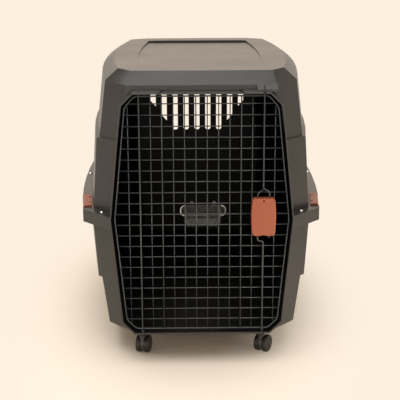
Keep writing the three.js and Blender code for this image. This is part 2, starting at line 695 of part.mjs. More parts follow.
function lowerShell() {
  const skin = loft([floorRing, chamferRing, stepFoot, stepTop, rimRing]);
  const top = PARTING - GAP;
  const flange = cut(flangePlan(0, SKIRT_Z, top), [
    flangePlan(SKIRT_WALL, SKIRT_Z - 5, top - FLANGE_PLATE),
  ]);
  const below = box(
    -FLANGE_SIDE - PAST, FLANGE_SIDE + PAST, -HALF_LENGTH - PAST, 0, OPENING_LOW - PAST, top);
  const hollow = loft([
    offsetRing(floorRing, -WALL, WALL),
    offsetRing(chamferRing, -WALL, WALL / 2),
    offsetRing(stepFoot, -WALL, WALL / 2),
    offsetRing(stepTop, -WALL, WALL / 2),
    flattenRing(offsetRing(rimRing, -WALL), PARTING + 10),
  ]);
  const corners = [-1, 1].flatMap((sx) => [-1, 1].map((sy) => [sx * CASTER_X, sy * CASTER_Y]));
  const bosses = corners.map(([x, y]) => upright(x, y, SOCKET_Z, FLOOR_Z + 2, SWIVEL_DISC_R, SOCKET_R, 16));
  const bores = corners.map(([x, y]) => upright(x, y, SOCKET_Z - 2, FLOOR_Z - 0.7, STEM_R + GAP));
  const lugs = Object.values(clipPlaces).flatMap((place) => [
    placed(clipLug(-LUG_HALF, LUG_HALF), clipMatrix(place)),
    placed(clipLug(KNUCKLE_FAR + GAP, LUG_END), clipMatrix(place)),
    placed(clipLug(-LUG_END, -KNUCKLE_FAR - GAP), clipMatrix(place)),
  ]);
  const ribs = Array.from({ length: RIB_COUNT }, (_, i) => {
    const x = (i - (RIB_COUNT - 1) / 2) * RIB_PITCH;
    const sides = [x - RIB_WIDTH / 2, x + RIB_WIDTH / 2, -RIB_HALF_LENGTH, RIB_HALF_LENGTH];
    return box(...sides, FLOOR_Z + 1, FLOOR_Z + WALL + RIB_HEIGHT);
  });
  const tray = cut(join([skin, flange, collar.intersect(below), ...bosses, ...lugs]), [
    hollow,
    doorCut,
    ...bores,
    ...collarHoles(OPENING_LOW - 5),
    ...boltHoles,
  ]);
  return join([tray, ...ribs]);
}

// Wire door: welded mesh in a bent frame, with the hinge rod, two stiffeners and the rod guides

function guideLoop(z, height) {
  const inner = ROD_R + SLIDE_GAP;
  const outer = inner + GUIDE_WIRE;
  const back = WIRE_Y - WIRE / 2 + FUSE;
  const front = ROD_Y - inner - GUIDE_WIRE;
  const sides = [z - height / 2, z + height / 2];
  return join([
    box(LATCH_X - outer, LATCH_X - inner, front, back, ...sides),
    box(LATCH_X + inner, LATCH_X + outer, front, back, ...sides),
    box(LATCH_X - outer, LATCH_X + outer, front, front + GUIDE_WIRE, ...sides),
  ]);
}

// The line of the frame wire, grown sideways; its head lies nearer to the collar
function frameOutline(grow) {
  return offsetOutline(openingOutline, grow - FRAME_INSET).map(([x, z]) => (
    [x, z > OPENING_HIGH - OPENING_CUT / 2 ? z + FRAME_INSET - HEAD_INSET : z]
  ));
}

function doorGrille() {
  const half = WIRE / 2;
  const reachX = OPENING_WIDEST;
  const backY = WIRE_Y + WIRE;
  const frontY = WIRE_Y - WIRE;
  const across = Array.from({ length: ROWS }, (_, row) => (
    box(-reachX, reachX, WIRE_Y - half, WIRE_Y + half, rowZ(row) - half, rowZ(row) + half)
  ));
  const upAt = (column, y) => box(
    columnX(column) - half,
    columnX(column) + half,
    y - half,
    y + half,
    OPENING_LOW,
    OPENING_HIGH,
  );
  const columns = Array.from({ length: COLUMNS }, (_, column) => column);
  const up = columns.filter((column) => column !== LATCH_COLUMN).map((column) => upAt(column, backY));
  const stiffeners = STIFFENER_COLUMNS.map((column) => upAt(column, frontY));
  const inside = frontPrism(frameOutline(0), WIRE_Y - 20, WIRE_Y + 20);
  const frameSides = [WIRE_Y - FRAME_WIRE / 2, WIRE_Y + FRAME_WIRE / 2];
  const frame = cut(
    frontPrism(frameOutline(FRAME_WIRE / 2), ...frameSides),
    [frontPrism(frameOutline(-FRAME_WIRE / 2), WIRE_Y - 9, WIRE_Y + 9)],
  );
  const mesh = join([...across, ...up, ...stiffeners]).intersect(inside);
  const hingeRod = upright(
    HINGE_X, HINGE_Y, OPENING_LOW - HINGE_FOOT_REACH, OPENING_HIGH + HINGE_TOP_REACH, ROD_R);
  const washer = upright(
    HINGE_X, HINGE_Y, OPENING_LOW + GAP, OPENING_LOW + GAP + WASHER_H, WASHER_R, WASHER_R);
  const guides = GUIDE_ROWS.filter((row) => row < ROWS).map((row) => guideLoop(rowZ(row), WIRE));
  const frameGuides = [OPENING_LOW + FRAME_INSET, OPENING_HIGH - HEAD_INSET].map((z) => (
    guideLoop(z, FRAME_WIRE)
  ));
  return join([mesh, frame, hingeRod, washer, ...guides, ...frameGuides]);
}

// Latch: an outer cover on the upper rod, an inner grip on the lower rod, a fixed carrier between

function latchCover() {
  const stations = 4;
  const corner = 5;
  const right = Array.from({ length: stations + 1 }, (_, i) => {
    const t = i / stations;
    const swell = COVER_BARREL * (1 - (2 * t - 1) ** 2);
    return [COVER_HALF + swell, COVER_LOW + corner + t * (COVER_HEIGHT - 2 * corner)];
  });
  const side = [[COVER_HALF - corner, COVER_LOW], ...right, [COVER_HALF - corner, COVER_HIGH]];
  const outline = [
    ...side.map(([x, z]) => [LATCH_X + x, z]),
    ...side.slice().reverse().map(([x, z]) => [LATCH_X - x, z]),
  ];
  const shell = frontLoft([
    [outline, COVER_BACK],
    [outline, COVER_FRONT + 4],
    [offsetOutline(outline, -1.2), COVER_FRONT + 1.2],
    [offsetOutline(outline, -4), COVER_FRONT],
  ]);
  const hollow = frontPrism(offsetOutline(outline, -COVER_WALL), COVER_FRONT + COVER_WALL, COVER_BACK + 2);
  const legHole = (x, z) => upright(x, LEG_Y, z - 6, z + 6, ROD_R + GAP);
  return cut(shell, [
    hollow,
    legHole(LEFT_LEG, COVER_HIGH),
    legHole(RIGHT_LEG, COVER_HIGH),
    legHole(RIGHT_LEG, COVER_LOW),
    box(LEFT_LEG - 4, RIGHT_LEG - 5, LEG_Y - 4, COVER_BACK + 4, COVER_LOW - 4, COVER_LOW + COVER_WALL + 2),
    box(LATCH_X - 5, LATCH_X + 5, COVER_FRONT - 4, COVER_BACK + 4, COVER_LOW - 4, COVER_LOW + 3),
    frontPrism(circle(2.5, 12, [LATCH_X, COVER_HIGH - 7]), COVER_FRONT - 4, COVER_FRONT + 6),
  ]);
}

function latchRodUpper() {
  const bend = COVER_HIGH + BEND_UP;
  const main = rod([
    [RIGHT_LEG, LEG_Y, COVER_LOW - 7],
    [RIGHT_LEG, LEG_Y, bend - 5],
    [LATCH_X, ROD_Y, bend],
    [LATCH_X, ROD_Y, OPENING_HIGH + LATCH_TIP_UP],
  ], ROD_R);
  const tine = rod([
    [LEFT_LEG, LEG_Y, COVER_HIGH - COVER_WALL + 0.5],
    [LEFT_LEG, LEG_Y, bend - 11],
    [LATCH_X + 2, ROD_Y - 1, bend - 0.5],
  ], ROD_R);
  return main.add(tine);
}

function latchRodLower() {
  return rod([
    [LATCH_X, ROD_Y, OPENING_LOW - LATCH_TIP_DOWN],
    [LATCH_X, ROD_Y, COVER_LOW - BEND_DOWN],
    [LEFT_LEG, LEG_Y, COVER_LOW - BEND_DOWN + 5],
    [LEFT_LEG, LEG_Y, SHELF_Z - 2],
  ], ROD_R);
}

function latchGrip() {
  const front = COVER_FRONT + COVER_WALL + 0.5;
  const sides = [LATCH_X - GRIP_HALF, LATCH_X + GRIP_HALF];
  return cut(join([
    box(...sides, front, LEG_Y + 5.5, GRIP_Z, GRIP_Z + GRIP_PLATE),
    box(...sides, front, front + 2.3, GRIP_Z, GRIP_Z + GRIP_LIP),
  ]), [
    upright(LEFT_LEG, LEG_Y, GRIP_Z - 2, GRIP_Z + GRIP_PLATE + 2, ROD_R + GAP),
    upright(RIGHT_LEG, LEG_Y, GRIP_Z - 2, GRIP_Z + GRIP_PLATE + 2, ROD_R + SLIDE_GAP),
  ]);
}

function latchCarrier() {
  const back = WIRE_Y - WIRE / 2 - GAP;
  const front = back - CARRIER_PLATE;
  const upper = rowZ(LATCH_ROW - 1) + WIRE / 2 + GAP;
  const lower = rowZ(LATCH_ROW + 1) - WIRE / 2 - GAP;
  const lipBack = WIRE_Y + WIRE / 2 + GAP;
  const tab = 2.5;
  const hooks = [-12, 6].flatMap((offset) => {
    const sides = [LATCH_X + offset, LATCH_X + offset + 6];
    return [
      box(...sides, front, lipBack + tab, upper, upper + tab),
      box(...sides, lipBack, lipBack + tab, upper - 4, upper + tab),
      box(...sides, front, lipBack + tab, lower - tab, lower),
      box(...sides, lipBack, lipBack + tab, lower - tab, lower + 4),
    ];
  });
  const plateSides = [LATCH_X - CARRIER_HALF, LATCH_X + CARRIER_HALF];
  const shelfSides = [LATCH_X - SHELF_HALF, LATCH_X + SHELF_HALF];
  const gusset = [[front + 1, SHELF_Z + 1], [LEG_Y, SHELF_Z + 1], [front + 1, SHELF_Z - 13]];
  return cut(join([
    box(...plateSides, front, back, lower - tab, upper + tab),
    box(...shelfSides, LEG_Y - 4.5, front + 1, SHELF_Z, SHELF_Z + SHELF),
    sidePrism(gusset, LATCH_X - 1.5, LATCH_X + 1.5),
    ...hooks,
  ]), [LEFT_LEG, RIGHT_LEG].map((x) => (
    upright(x, LEG_Y, SHELF_Z - 2, SHELF_Z + SHELF + 2, ROD_R + SLIDE_GAP)
  )));
}

// A helical spring round a leg, its ends turned square to the faces they press on
function spring(x, z0, z1) {
  const steps = SPRING_CURLS * 8;
  const lead = 2 * SPRING_WIRE_R;
  const path = [new THREE.Vector3(x + SPRING_R, LEG_Y, z0)];
  for (let i = 0; i <= steps; i += 1) {
    const angle = (i * 2 * Math.PI) / 8;
    const z = z0 + lead + ((z1 - z0 - 2 * lead) * i) / steps;
    path.push(new THREE.Vector3(x + SPRING_R * Math.cos(angle), LEG_Y + SPRING_R * Math.sin(angle), z));
  }
  path.push(new THREE.Vector3(x + SPRING_R, LEG_Y, z1));
  let least = Infinity;
  path.forEach((p, i) => {
    path.slice(i + 5).forEach((q) => {
      least = Math.min(least, p.distanceTo(q) - 2 * SPRING_WIRE_R);
    });
  });
  console.log(`spring at x ${x.toFixed(1)}: least gap to itself ${least.toFixed(2)} mm`);
  return solidOf(rodGeometry(path, SPRING_WIRE_R, 5));
}

// Bowl: an open cup on a rounded hanger plate with two hooks over a door wire

function roundedPlan(halfX, y0, y1, corner, z) {
  const points = [
    [halfX - corner, y0], [halfX, y0 + corner], [halfX, y1 - corner], [halfX - corner, y1],
    [-halfX + corner, y1], [-halfX, y1 - corner], [-halfX, y0 + corner], [-halfX + corner, y0],
  ];
  return points.map(([x, y]) => new THREE.Vector3(BOWL_X + x, y, z));
}

function waterBowl() {
  const plateFront = WIRE_Y + 1.5 * WIRE + GAP;
  const plateBack = plateFront + HANGER_PLATE;
  const front = plateFront + HANGER_PLATE / 2;
  const foot = BOWL_RIM_Z - BOWL_HEIGHT;
  const rear = front + BOWL_DEPTH;
  const cup = cut(loft([
    roundedPlan(BOWL_FOOT_HALF, front, rear - 6, 9, foot),
    roundedPlan(BOWL_RIM_HALF, front, rear, 10, BOWL_RIM_Z),
  ]), [loft([
    roundedPlan(BOWL_FOOT_HALF - BOWL_WALL, plateBack, rear - 6 - BOWL_WALL, 7, foot + BOWL_WALL),
    roundedPlan(BOWL_RIM_HALF - BOWL_WALL, plateBack, rear - BOWL_WALL, 8, BOWL_RIM_Z + 1),
  ])]);
  const plateLow = BOWL_RIM_Z - 6;
  const radius = (HANGER_TOP_Z - plateLow) / 2;
  const end = (side) => circle(radius, 16, [0, plateLow + radius])
    .map(([x, z]) => [BOWL_X + side * (HANGER_HALF - radius) + x, z]);
  const hanger = join([
    frontPrism(end(-1), plateFront, plateBack),
    frontPrism(end(1), plateFront, plateBack),
    box(BOWL_X - HANGER_HALF + radius, BOWL_X + HANGER_HALF - radius,
      plateFront, plateBack, plateLow, HANGER_TOP_Z),
  ]);
  const seat = rowZ(HOOK_ROW) + WIRE / 2 + GAP;
  const lipFront = WIRE_Y - WIRE / 2 - GAP;
  const tab = 2.4;
  const hooks = [-1, 1].flatMap((side) => {
    const x = BOWL_X + side * PITCH;
    const sides = [x - HOOK_WIDTH / 2, x + HOOK_WIDTH / 2];
    return [
      box(...sides, plateFront, plateBack, HANGER_TOP_Z - 8, seat + tab),
      box(...sides, lipFront - tab, plateBack, seat, seat + tab),
      box(...sides, lipFront - tab, lipFront, seat - 7, seat + tab),
    ];
  });
  return join([cup, hanger, ...hooks]);
}

// Clips, their pins, the bolts and the wing nuts

function clip() {
  const pinX = GAP + CLIP_WALL / 2;
  const pinZ = SKIRT_Z - PIN_DROP;
  const outer = GAP + CLIP_WALL;
  const under = PARTING + FLANGE_PLATE + GAP;
  const over = under + CLIP_TOP;
  const half = CLIP_LENGTH / 2;
  const hook = frontPrism([
    [GAP, SKIRT_Z + 0.8],
    [outer, SKIRT_Z + 0.8],
    [outer, over - 2.8],
    [outer - 2.3, over],
    [-CLIP_REACH, over],
    [-CLIP_REACH, under],
    [GAP, under],
  ], -half, half);
  const knuckles = [[-KNUCKLE_FAR, -KNUCKLE_NEAR], [KNUCKLE_NEAR, KNUCKLE_FAR]].flatMap(([y0, y1]) => [
    frontPrism(circle(KNUCKLE_R, SMALL_SIDES, [pinX, pinZ]), y0, y1),
    box(GAP, outer, y0, y1, pinZ, SKIRT_Z + 2),
  ]);
  const notches = [-1, 1].map((side) => {
    const y = (side * CLIP_LENGTH) / 4;
    return box(
      -CLIP_REACH - 1, -CLIP_REACH + CLIP_NOTCH_DEPTH,
      y - CLIP_NOTCH_WIDTH / 2, y + CLIP_NOTCH_WIDTH / 2, under - 1, over + 1);
  });
  const bore = frontPrism(circle(PIN_R + GAP, SMALL_SIDES, [pinX, pinZ]), -half, half);
  return cut(join([hook, ...knuckles]), [bore, ...notches]);
}

const clipPin = () => frontPrism(
  circle(PIN_R, SMALL_SIDES, [GAP + CLIP_WALL / 2, SKIRT_Z - PIN_DROP]), -LUG_END, LUG_END);

function bolt() {
  const seat = PARTING + FLANGE_PLATE + GAP;
  return join([
    upright(0, 0, seat, seat + HEAD_H - 1, HEAD_R),
    upright(0, 0, seat + HEAD_H - 1, seat + HEAD_H, HEAD_R, HEAD_R - 1),
    upright(0, 0, PARTING - 4 * FLANGE_PLATE, seat + 1, BOLT_R),
  ]);
}

function wingNut() {
  const top = PARTING - GAP - FLANGE_PLATE - GAP;
  const wing = [
    [4, top - 1], [5, top - 8], [WING_SPAN, top - 18], [WING_SPAN - 1, top - NUT_H],
    [WING_SPAN - 4.5, top - NUT_H], [3, top - 11],
  ];
  const other = wing.slice().reverse().map(([y, z]) => [-y, z]);
  return cut(join([
    upright(0, 0, top - 10, top, HEAD_R - 1, HEAD_R),
    sidePrism([...wing, ...other], -WING_THICK / 2, WING_THICK / 2),
  ]), [upright(0, 0, top - NUT_H - 2, top + 2, BOLT_R + GAP)]);
}

// Casters, in a frame whose z axis is the stem; the wheels trail towards +Y

function casterHousing() {
  const half = HUB_GAP / 2 - GAP;
  const deck = 2 * WHEEL_R;
  const top = deck + UNDERSIDE_GAP - SOCKET_DEPTH - GAP;
  const web = sidePrism(circle(HOUSING_R, 16, [TRAIL, WHEEL_R]), -half, half);
  const column = box(-half, half, -STEM_R - 3, STEM_R + 3, WHEEL_R, deck + 1);
  const disc = upright(0, 0, deck, top, SWIVEL_DISC_R, SWIVEL_DISC_R, 16);
  return cut(join([web, column, disc]), [
    upright(0, 0, deck - 16, top + 2, STEM_R + GAP),
    sidePrism(circle(AXLE_R + GAP, SMALL_SIDES, [TRAIL, WHEEL_R]), -half - 1, half + 1),
  ]);
}

const casterStem = () => upright(0, 0, 2 * WHEEL_R - 15, 2 * WHEEL_R + UNDERSIDE_GAP - 1, STEM_R);

const casterAxle = () => {
  const reach = HUB_GAP / 2 + AXLE_SEAT;
  return sidePrism(circle(AXLE_R, SMALL_SIDES, [TRAIL, WHEEL_R]), -reach, reach);
};

function casterWheel(side) {
  const bore = AXLE_SEAT + GAP;
  const profile = [
    [0, WHEEL_W],
    [WHEEL_R - 2, WHEEL_W],
    [WHEEL_R, WHEEL_W - 2],
    [WHEEL_R, 2],
    [WHEEL_R - 2, 0],
    [AXLE_R + GAP, 0],
    [AXLE_R + GAP, bore],
    [0, bore],
  ].reverse();
  const geometry = new THREE.LatheGeometry(profile.map(([r, h]) => new THREE.Vector2(r, h)), WHEEL_SIDES);
  geometry.rotateZ(-side * Math.PI / 2);
  geometry.translate((side * HUB_GAP) / 2, TRAIL, WHEEL_R);
  return solidOf(geometry);
}

// The scene: the body stands on the casters, and the group is centred on the whole crate

const node = (name, solid, material) => {
  const mesh = new THREE.Mesh(geometryOf(solid), material());
  mesh.name = name;
  return mesh;
};

const crate = new THREE.Group();
crate.position.y = -(COVER_FRONT + HALF_LENGTH) / 2;

const body = new THREE.Group();
body.position.z = BODY_LIFT;
crate.add(body);
body.add(node('upper_shell', upperShell(), SHELL));
body.add(node('lower_shell', lowerShell(), SHELL));

const door = new THREE.Group();
body.add(door);
door.add(node('door_grille', doorGrille(), WIRE_COAT));
door.add(node('latch_carrier', latchCarrier(), BLACK));
door.add(node('latch_cover', latchCover(), ORANGE));
door.add(node('latch_grip', latchGrip(), ORANGE));
door.add(node('latch_rod_upper', latchRodUpper(), WIRE_COAT));
door.add(node('latch_rod_lower', latchRodLower(), WIRE_COAT));
const springSpans = {
  latch_spring_upper: [RIGHT_LEG, SHELF_Z + SHELF + GAP, COVER_HIGH - COVER_WALL - GAP],
  latch_spring_lower: [LEFT_LEG, GRIP_Z + GRIP_PLATE + GAP, SHELF_Z - GAP],
};
for (const [name, span] of Object.entries(springSpans)) {
  door.add(node(name, spring(...span), STEEL));
}
door.add(node('water_bowl', waterBowl(), CLEAR));

for (const [corner, [x, y, turn]] of Object.entries(clipPlaces)) {
  const seat = new THREE.Group();
  seat.position.set(x - CLIP_SEAT * Math.cos(turn), y - CLIP_SEAT * Math.sin(turn), 0);
  seat.rotation.z = turn;
  seat.add(node(`clip_${corner}`, clip(), PALE_ORANGE));
  seat.add(node(`clip_pin_${corner}`, clipPin(), STEEL));
  body.add(seat);
}

const boltNames = ['front_right', 'front_left', 'rear_right', 'rear_left', 'side_right', 'side_left'];
const cornerTurn = Math.atan2(
  CORNER_X.parting + FLANGE_REACH - OPENING_WIDEST,
  HALF_LENGTH - FLANGE_CORNER_Y,
);
boltPlaces.forEach(([x, y], i) => {
  const seat = new THREE.Group();
  seat.position.set(x, y, 0);
  seat.rotation.z = i < 4 ? Math.sign(x * y) * cornerTurn : 0;
  seat.add(node(`bolt_${boltNames[i]}`, bolt(), STEEL));
  seat.add(node(`wing_nut_${boltNames[i]}`, wingNut(), BLACK));
  body.add(seat);
});

for (const [corner, degrees] of Object.entries(CASTER_TURN)) {
  const [end, hand] = corner.split('_');
  const caster = new THREE.Group();
  caster.position.set(hand === 'left' ? -CASTER_X : CASTER_X, end === 'front' ? -CASTER_Y : CASTER_Y, 0);
  caster.rotation.z = THREE.MathUtils.degToRad(degrees);
  caster.add(node(`caster_${corner}_stem`, casterStem(), STEEL));
  caster.add(node(`caster_${corner}_housing`, casterHousing(), BLACK));
  caster.add(node(`caster_${corner}_axle`, casterAxle(), STEEL));
  caster.add(node(`caster_${corner}_wheel_l`, casterWheel(-1), RUBBER));
  caster.add(node(`caster_${corner}_wheel_r`, casterWheel(1), RUBBER));
  crate.add(caster);
}

export default crate;
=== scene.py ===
# %% [markdown]
# # A pet transport crate on casters
#
# The crate arrives from CAD as plain solids that already have the right sizes and places.
# This lesson dresses it: moulded shells get softened edges and a grained surface, the wire
# door gets round welded wires, and the small hardware gets its turned and moulded forms.
# Lengths are metres, +Z is up and the door faces -Y.

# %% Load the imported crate
import json
from math import cos, radians, sin, tau

import bmesh
import bpy
from mathutils import Matrix, Vector


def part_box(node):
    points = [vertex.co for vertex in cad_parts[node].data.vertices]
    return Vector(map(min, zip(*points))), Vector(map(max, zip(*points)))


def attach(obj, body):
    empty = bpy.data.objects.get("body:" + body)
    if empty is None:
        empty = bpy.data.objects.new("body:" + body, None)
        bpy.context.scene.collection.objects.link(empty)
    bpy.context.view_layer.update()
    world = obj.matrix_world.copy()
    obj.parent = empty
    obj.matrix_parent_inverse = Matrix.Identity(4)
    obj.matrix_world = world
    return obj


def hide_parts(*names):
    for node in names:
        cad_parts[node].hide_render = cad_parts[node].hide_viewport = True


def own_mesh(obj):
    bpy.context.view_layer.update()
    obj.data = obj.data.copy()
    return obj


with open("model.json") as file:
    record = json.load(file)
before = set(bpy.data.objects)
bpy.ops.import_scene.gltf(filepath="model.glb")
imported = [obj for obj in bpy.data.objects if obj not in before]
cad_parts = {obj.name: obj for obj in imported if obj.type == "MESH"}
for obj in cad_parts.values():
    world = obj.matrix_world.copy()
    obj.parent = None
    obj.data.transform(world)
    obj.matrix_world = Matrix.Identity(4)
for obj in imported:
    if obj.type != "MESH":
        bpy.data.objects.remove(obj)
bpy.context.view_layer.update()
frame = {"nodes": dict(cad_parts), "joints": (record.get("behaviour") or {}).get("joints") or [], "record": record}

nodes = frame["nodes"]
bodies = frame["record"]["behaviour"]["bodies"]
body_of_node = {node: body for body, members in bodies.items() for node in members}
print("nodes:", len(nodes), "bodies:", len(bodies))

# %% [markdown]
# ## The camera
#
# The photograph was taken from a little above the crate and almost straight in front of it.
# The camera repeats that place and lens, so the render can be laid over the photograph.

# %% Place the camera
SENSOR_MM, LENS_MM = 36, 89.803
CAMERA_PLACE = (-0.040525, -2.956446, 1.115756)
YAW, TILT_DOWN, ROLL = -0.8340, 15.0440, -0.2091

camera_data = bpy.data.cameras.new("camera")
camera_data.sensor_width = SENSOR_MM
camera_data.lens = LENS_MM
camera = bpy.data.objects.new("camera", camera_data)
bpy.context.scene.collection.objects.link(camera)
camera.matrix_world = (
    Matrix.Translation(CAMERA_PLACE)
    @ Matrix.Rotation(radians(YAW), 4, "Z")
    @ Matrix.Rotation(radians(90 - TILT_DOWN), 4, "X")
    @ Matrix.Rotation(radians(ROLL), 4, "Z")
)
bpy.context.scene.camera = camera
bpy.context.scene.view_settings.view_transform = "Standard"
print("camera at", tuple(round(c, 3) for c in camera.matrix_world.translation))

# %% [markdown]
# ## Shader nodes
#
# Node trees are built the same way everywhere: a node is made, its settings are set, and each
# input gets either a value or a link from another node's output.

# %% Helpers for node trees
def add_node(tree, kind, inputs=None, **settings):
    node = tree.nodes.new(kind)
    for key, value in settings.items():
        setattr(node, key, value)
    for key, value in (inputs or {}).items():
        if isinstance(value, bpy.types.NodeSocket):
            tree.links.new(value, node.inputs[key])
        else:
            node.inputs[key].default_value = value
    return node


def ranged(tree, value, low, high, out_low=0.0, out_high=1.0):
    span = {"From Min": low, "From Max": high, "To Min": out_low, "To Max": out_high}
    return add_node(tree, "ShaderNodeMapRange", {"Value": value, **span}).outputs["Result"]


def calc(tree, operation, first, second=0.0):
    return add_node(tree, "ShaderNodeMath", {0: first, 1: second}, operation=operation).outputs[0]


def mixed(tree, factor, first, second):
    mix = add_node(tree, "ShaderNodeMix", data_type="RGBA")
    for value, label in ((factor, "Factor"), (first, "A"), (second, "B")):
        if isinstance(value, bpy.types.NodeSocket):
            tree.links.new(value, mix.inputs[label])
        else:
            mix.inputs[label].default_value = value if label == "Factor" else (*value, 1)
    return mix.outputs["Result"]


def looked_at(tree):
    ray = add_node(tree, "ShaderNodeLightPath").outputs
    mirrored = calc(tree, "MAXIMUM", ray["Is Glossy Ray"], ray["Is Transmission Ray"])
    return calc(tree, "MAXIMUM", mirrored, ray["Is Camera Ray"])


print("helpers for node trees ready")

# %% [markdown]
# ## Light
#
# Dark plastic shows almost nothing of its own colour: what the eye reads are reflections.
# A wide soft box above the front lights the band over the door, a warm one behind skims the
# roof and a large one hangs overhead. Three low ones bring up the wires, the lower facets and
# the casters. The room itself is dim, except where the camera or a mirror looks straight at
# it: there it has the cream tone of the backdrop.

# %% Soft boxes and the room
def soft_box(name, place, aim, size, power, colour):
    data = bpy.data.lights.new(name, "AREA")
    data.shape = "RECTANGLE"
    data.size, data.size_y = size
    data.energy = power
    data.color = colour
    lamp = bpy.data.objects.new(name, data)
    bpy.context.scene.collection.objects.link(lamp)
    lamp.location = place
    lamp.rotation_euler = (Vector(aim) - Vector(place)).to_track_quat("-Z", "Y").to_euler()


LEFT_CASTER, RIGHT_CASTER, LOW_GLOW = (-0.27, -0.46, 0.16), (0.27, -0.46, 0.16), (1.0, 0.80, 0.62)
# Name: place, aim, size, power, colour
LAMPS = {
    "light_over_front": ((-0.42, -2.1, 3.1), (0, -0.2, 0.2), (2.6, 1.8), 50, (0.97, 0.985, 1.0)),
    "light_behind": ((0, 3.2, 2.3), (0, 0.2, 0.6), (1.9, 1.6), 7, (1.0, 0.72, 0.50)),
    "light_top": ((-0.2, 0.2, 4.0), (0, 0, 0), (3.4, 3.4), 88, (1.0, 0.965, 0.91)),
    "light_low_front": ((0, -2.5, 0.35), (0, -0.4, 0.5), (2.6, 0.5), 9.5, (1.0, 0.92, 0.82)),
    "light_low_left": ((-0.8, -0.9, 0.06), LEFT_CASTER, (0.5, 0.1), 2.2, LOW_GLOW),
    "light_low_right": ((0.8, -0.9, 0.06), RIGHT_CASTER, (0.5, 0.1), 5.0, LOW_GLOW),
}
for name, lamp in LAMPS.items():
    soft_box(name, *lamp)

ROOM_SHADE, BACKDROP = (0.52, 0.465, 0.40), (0.99, 0.87, 0.74)
world = bpy.data.worlds.new("room")
bpy.context.scene.world = world
world.use_nodes = True
tree = world.node_tree
room_colour = mixed(tree, looked_at(tree), ROOM_SHADE, BACKDROP)
tree.links.new(room_colour, tree.nodes["Background"].inputs["Color"])
print("lights:", len(LAMPS))

# %% [markdown]
# ## Floor
#
# The studio floor is a warm cream sweep. Close to the crate it is a real lit surface, so that
# it carries the soft shadow and tints the lower walls. Further out it fades to the plain tone
# of the backdrop, for the camera and for mirror rays. The fade follows the crate's footprint
# and starts a little sooner on the right, where the photograph's floor is brighter.

# %% A plain pale floor
FLOOR_HALF = 30
FADE_START, FADE_END = 0.40, 1.22
FOOTPRINT_SCALE, FOOTPRINT_SHIFT = (2.0, 1, 1), (0.12, 0, 0)

floor_mesh = bpy.data.meshes.new("floor")
bm = bmesh.new()
bmesh.ops.create_grid(bm, x_segments=1, y_segments=1, size=FLOOR_HALF)
bm.to_mesh(floor_mesh)
bm.free()
floor = bpy.data.objects.new("floor", floor_mesh)
bpy.context.scene.collection.objects.link(floor)

floor_material = bpy.data.materials.new("studio_floor")
floor_material.use_nodes = True
tree = floor_material.node_tree
surface = tree.nodes["Principled BSDF"]
surface.inputs["Base Color"].default_value = (0.93, 0.83, 0.71, 1)
surface.inputs["Roughness"].default_value = 0.9
surface.inputs["Specular IOR Level"].default_value = 0.2
place = add_node(tree, "ShaderNodeTexCoord").outputs["Object"]
shape = {0: place, 1: FOOTPRINT_SCALE, 2: FOOTPRINT_SHIFT}
footprint = add_node(tree, "ShaderNodeVectorMath", shape, operation="MULTIPLY_ADD")
outward = {0: footprint.outputs["Vector"]}
distance = add_node(tree, "ShaderNodeVectorMath", outward, operation="LENGTH").outputs["Value"]
fade = add_node(
    tree,
    "ShaderNodeMapRange",
    {"Value": distance, "From Min": FADE_START, "From Max": FADE_END},
    interpolation_type="SMOOTHSTEP",
).outputs["Result"]
seen = calc(tree, "MULTIPLY", fade, looked_at(tree))
glow = add_node(tree, "ShaderNodeEmission", {"Color": (0.985, 0.868, 0.737, 1)}).outputs["Emission"]
blend = add_node(tree, "ShaderNodeMixShader", {"Fac": seen, 1: surface.outputs["BSDF"], 2: glow})
tree.links.new(blend.outputs["Shader"], tree.nodes["Material Output"].inputs["Surface"])
floor_mesh.materials.append(floor_material)
print("floor:", floor.dimensions[:2])

# %% [markdown]
# ## Finishes
#
# Four effects return on several finishes, so each is a shader group that is built once: the
# fine grain of a spark-eroded mould, the cloudy tone of handled plastic, the pale rub and painted
# highlight along moulded edges, and the scuffs that a crate collects near the ground.

# %% Groups that the finishes share
def new_group(name, size, output):
    group = bpy.data.node_groups.new(name, "ShaderNodeTree")
    group.interface.new_socket("Vector", in_out="INPUT", socket_type="NodeSocketVector")
    socket = group.interface.new_socket("Size", in_out="INPUT", socket_type="NodeSocketFloat")
    socket.default_value = size
    group.interface.new_socket(output, in_out="OUTPUT", socket_type="NodeSocketFloat")
    given = group.nodes.new("NodeGroupInput").outputs
    return group, given["Vector"], given["Size"], group.nodes.new("NodeGroupOutput").inputs[output]


def noise(tree, vector, scale, detail, roughness=0.5):
    values = {"Vector": vector, "Scale": scale, "Detail": detail, "Roughness": roughness}
    return add_node(tree, "ShaderNodeTexNoise", values).outputs["Fac"]


mould_grain, vector, size, result = new_group("mould_grain", 900.0, "Height")
cells = {"Vector": vector, "Scale": size}
fine = add_node(mould_grain, "ShaderNodeTexVoronoi", cells, feature="SMOOTH_F1").outputs["Distance"]
coarse = noise(mould_grain, vector, calc(mould_grain, "MULTIPLY", size, 0.31), 2.0)
mould_grain.links.new(calc(mould_grain, "ADD", fine, coarse), result)

cloudy_tone, vector, size, result = new_group("cloudy_tone", 4.0, "Mask")
clouds = noise(cloudy_tone, vector, size, 5.0)
cloudy_tone.links.new(ranged(cloudy_tone, clouds, 0.3, 0.7), result)

edge_rub_and_highlight, vector, size, result = new_group("edge_rub_and_highlight", 30.0, "Mask")
edge = add_node(edge_rub_and_highlight, "ShaderNodeAttribute", attribute_name="edge").outputs["Fac"]
broken = ranged(edge_rub_and_highlight, noise(edge_rub_and_highlight, vector, size, 4.0), 0.38, 0.62, 0.25, 1.0)
edge_rub_and_highlight.links.new(calc(edge_rub_and_highlight, "MULTIPLY", edge, broken), result)

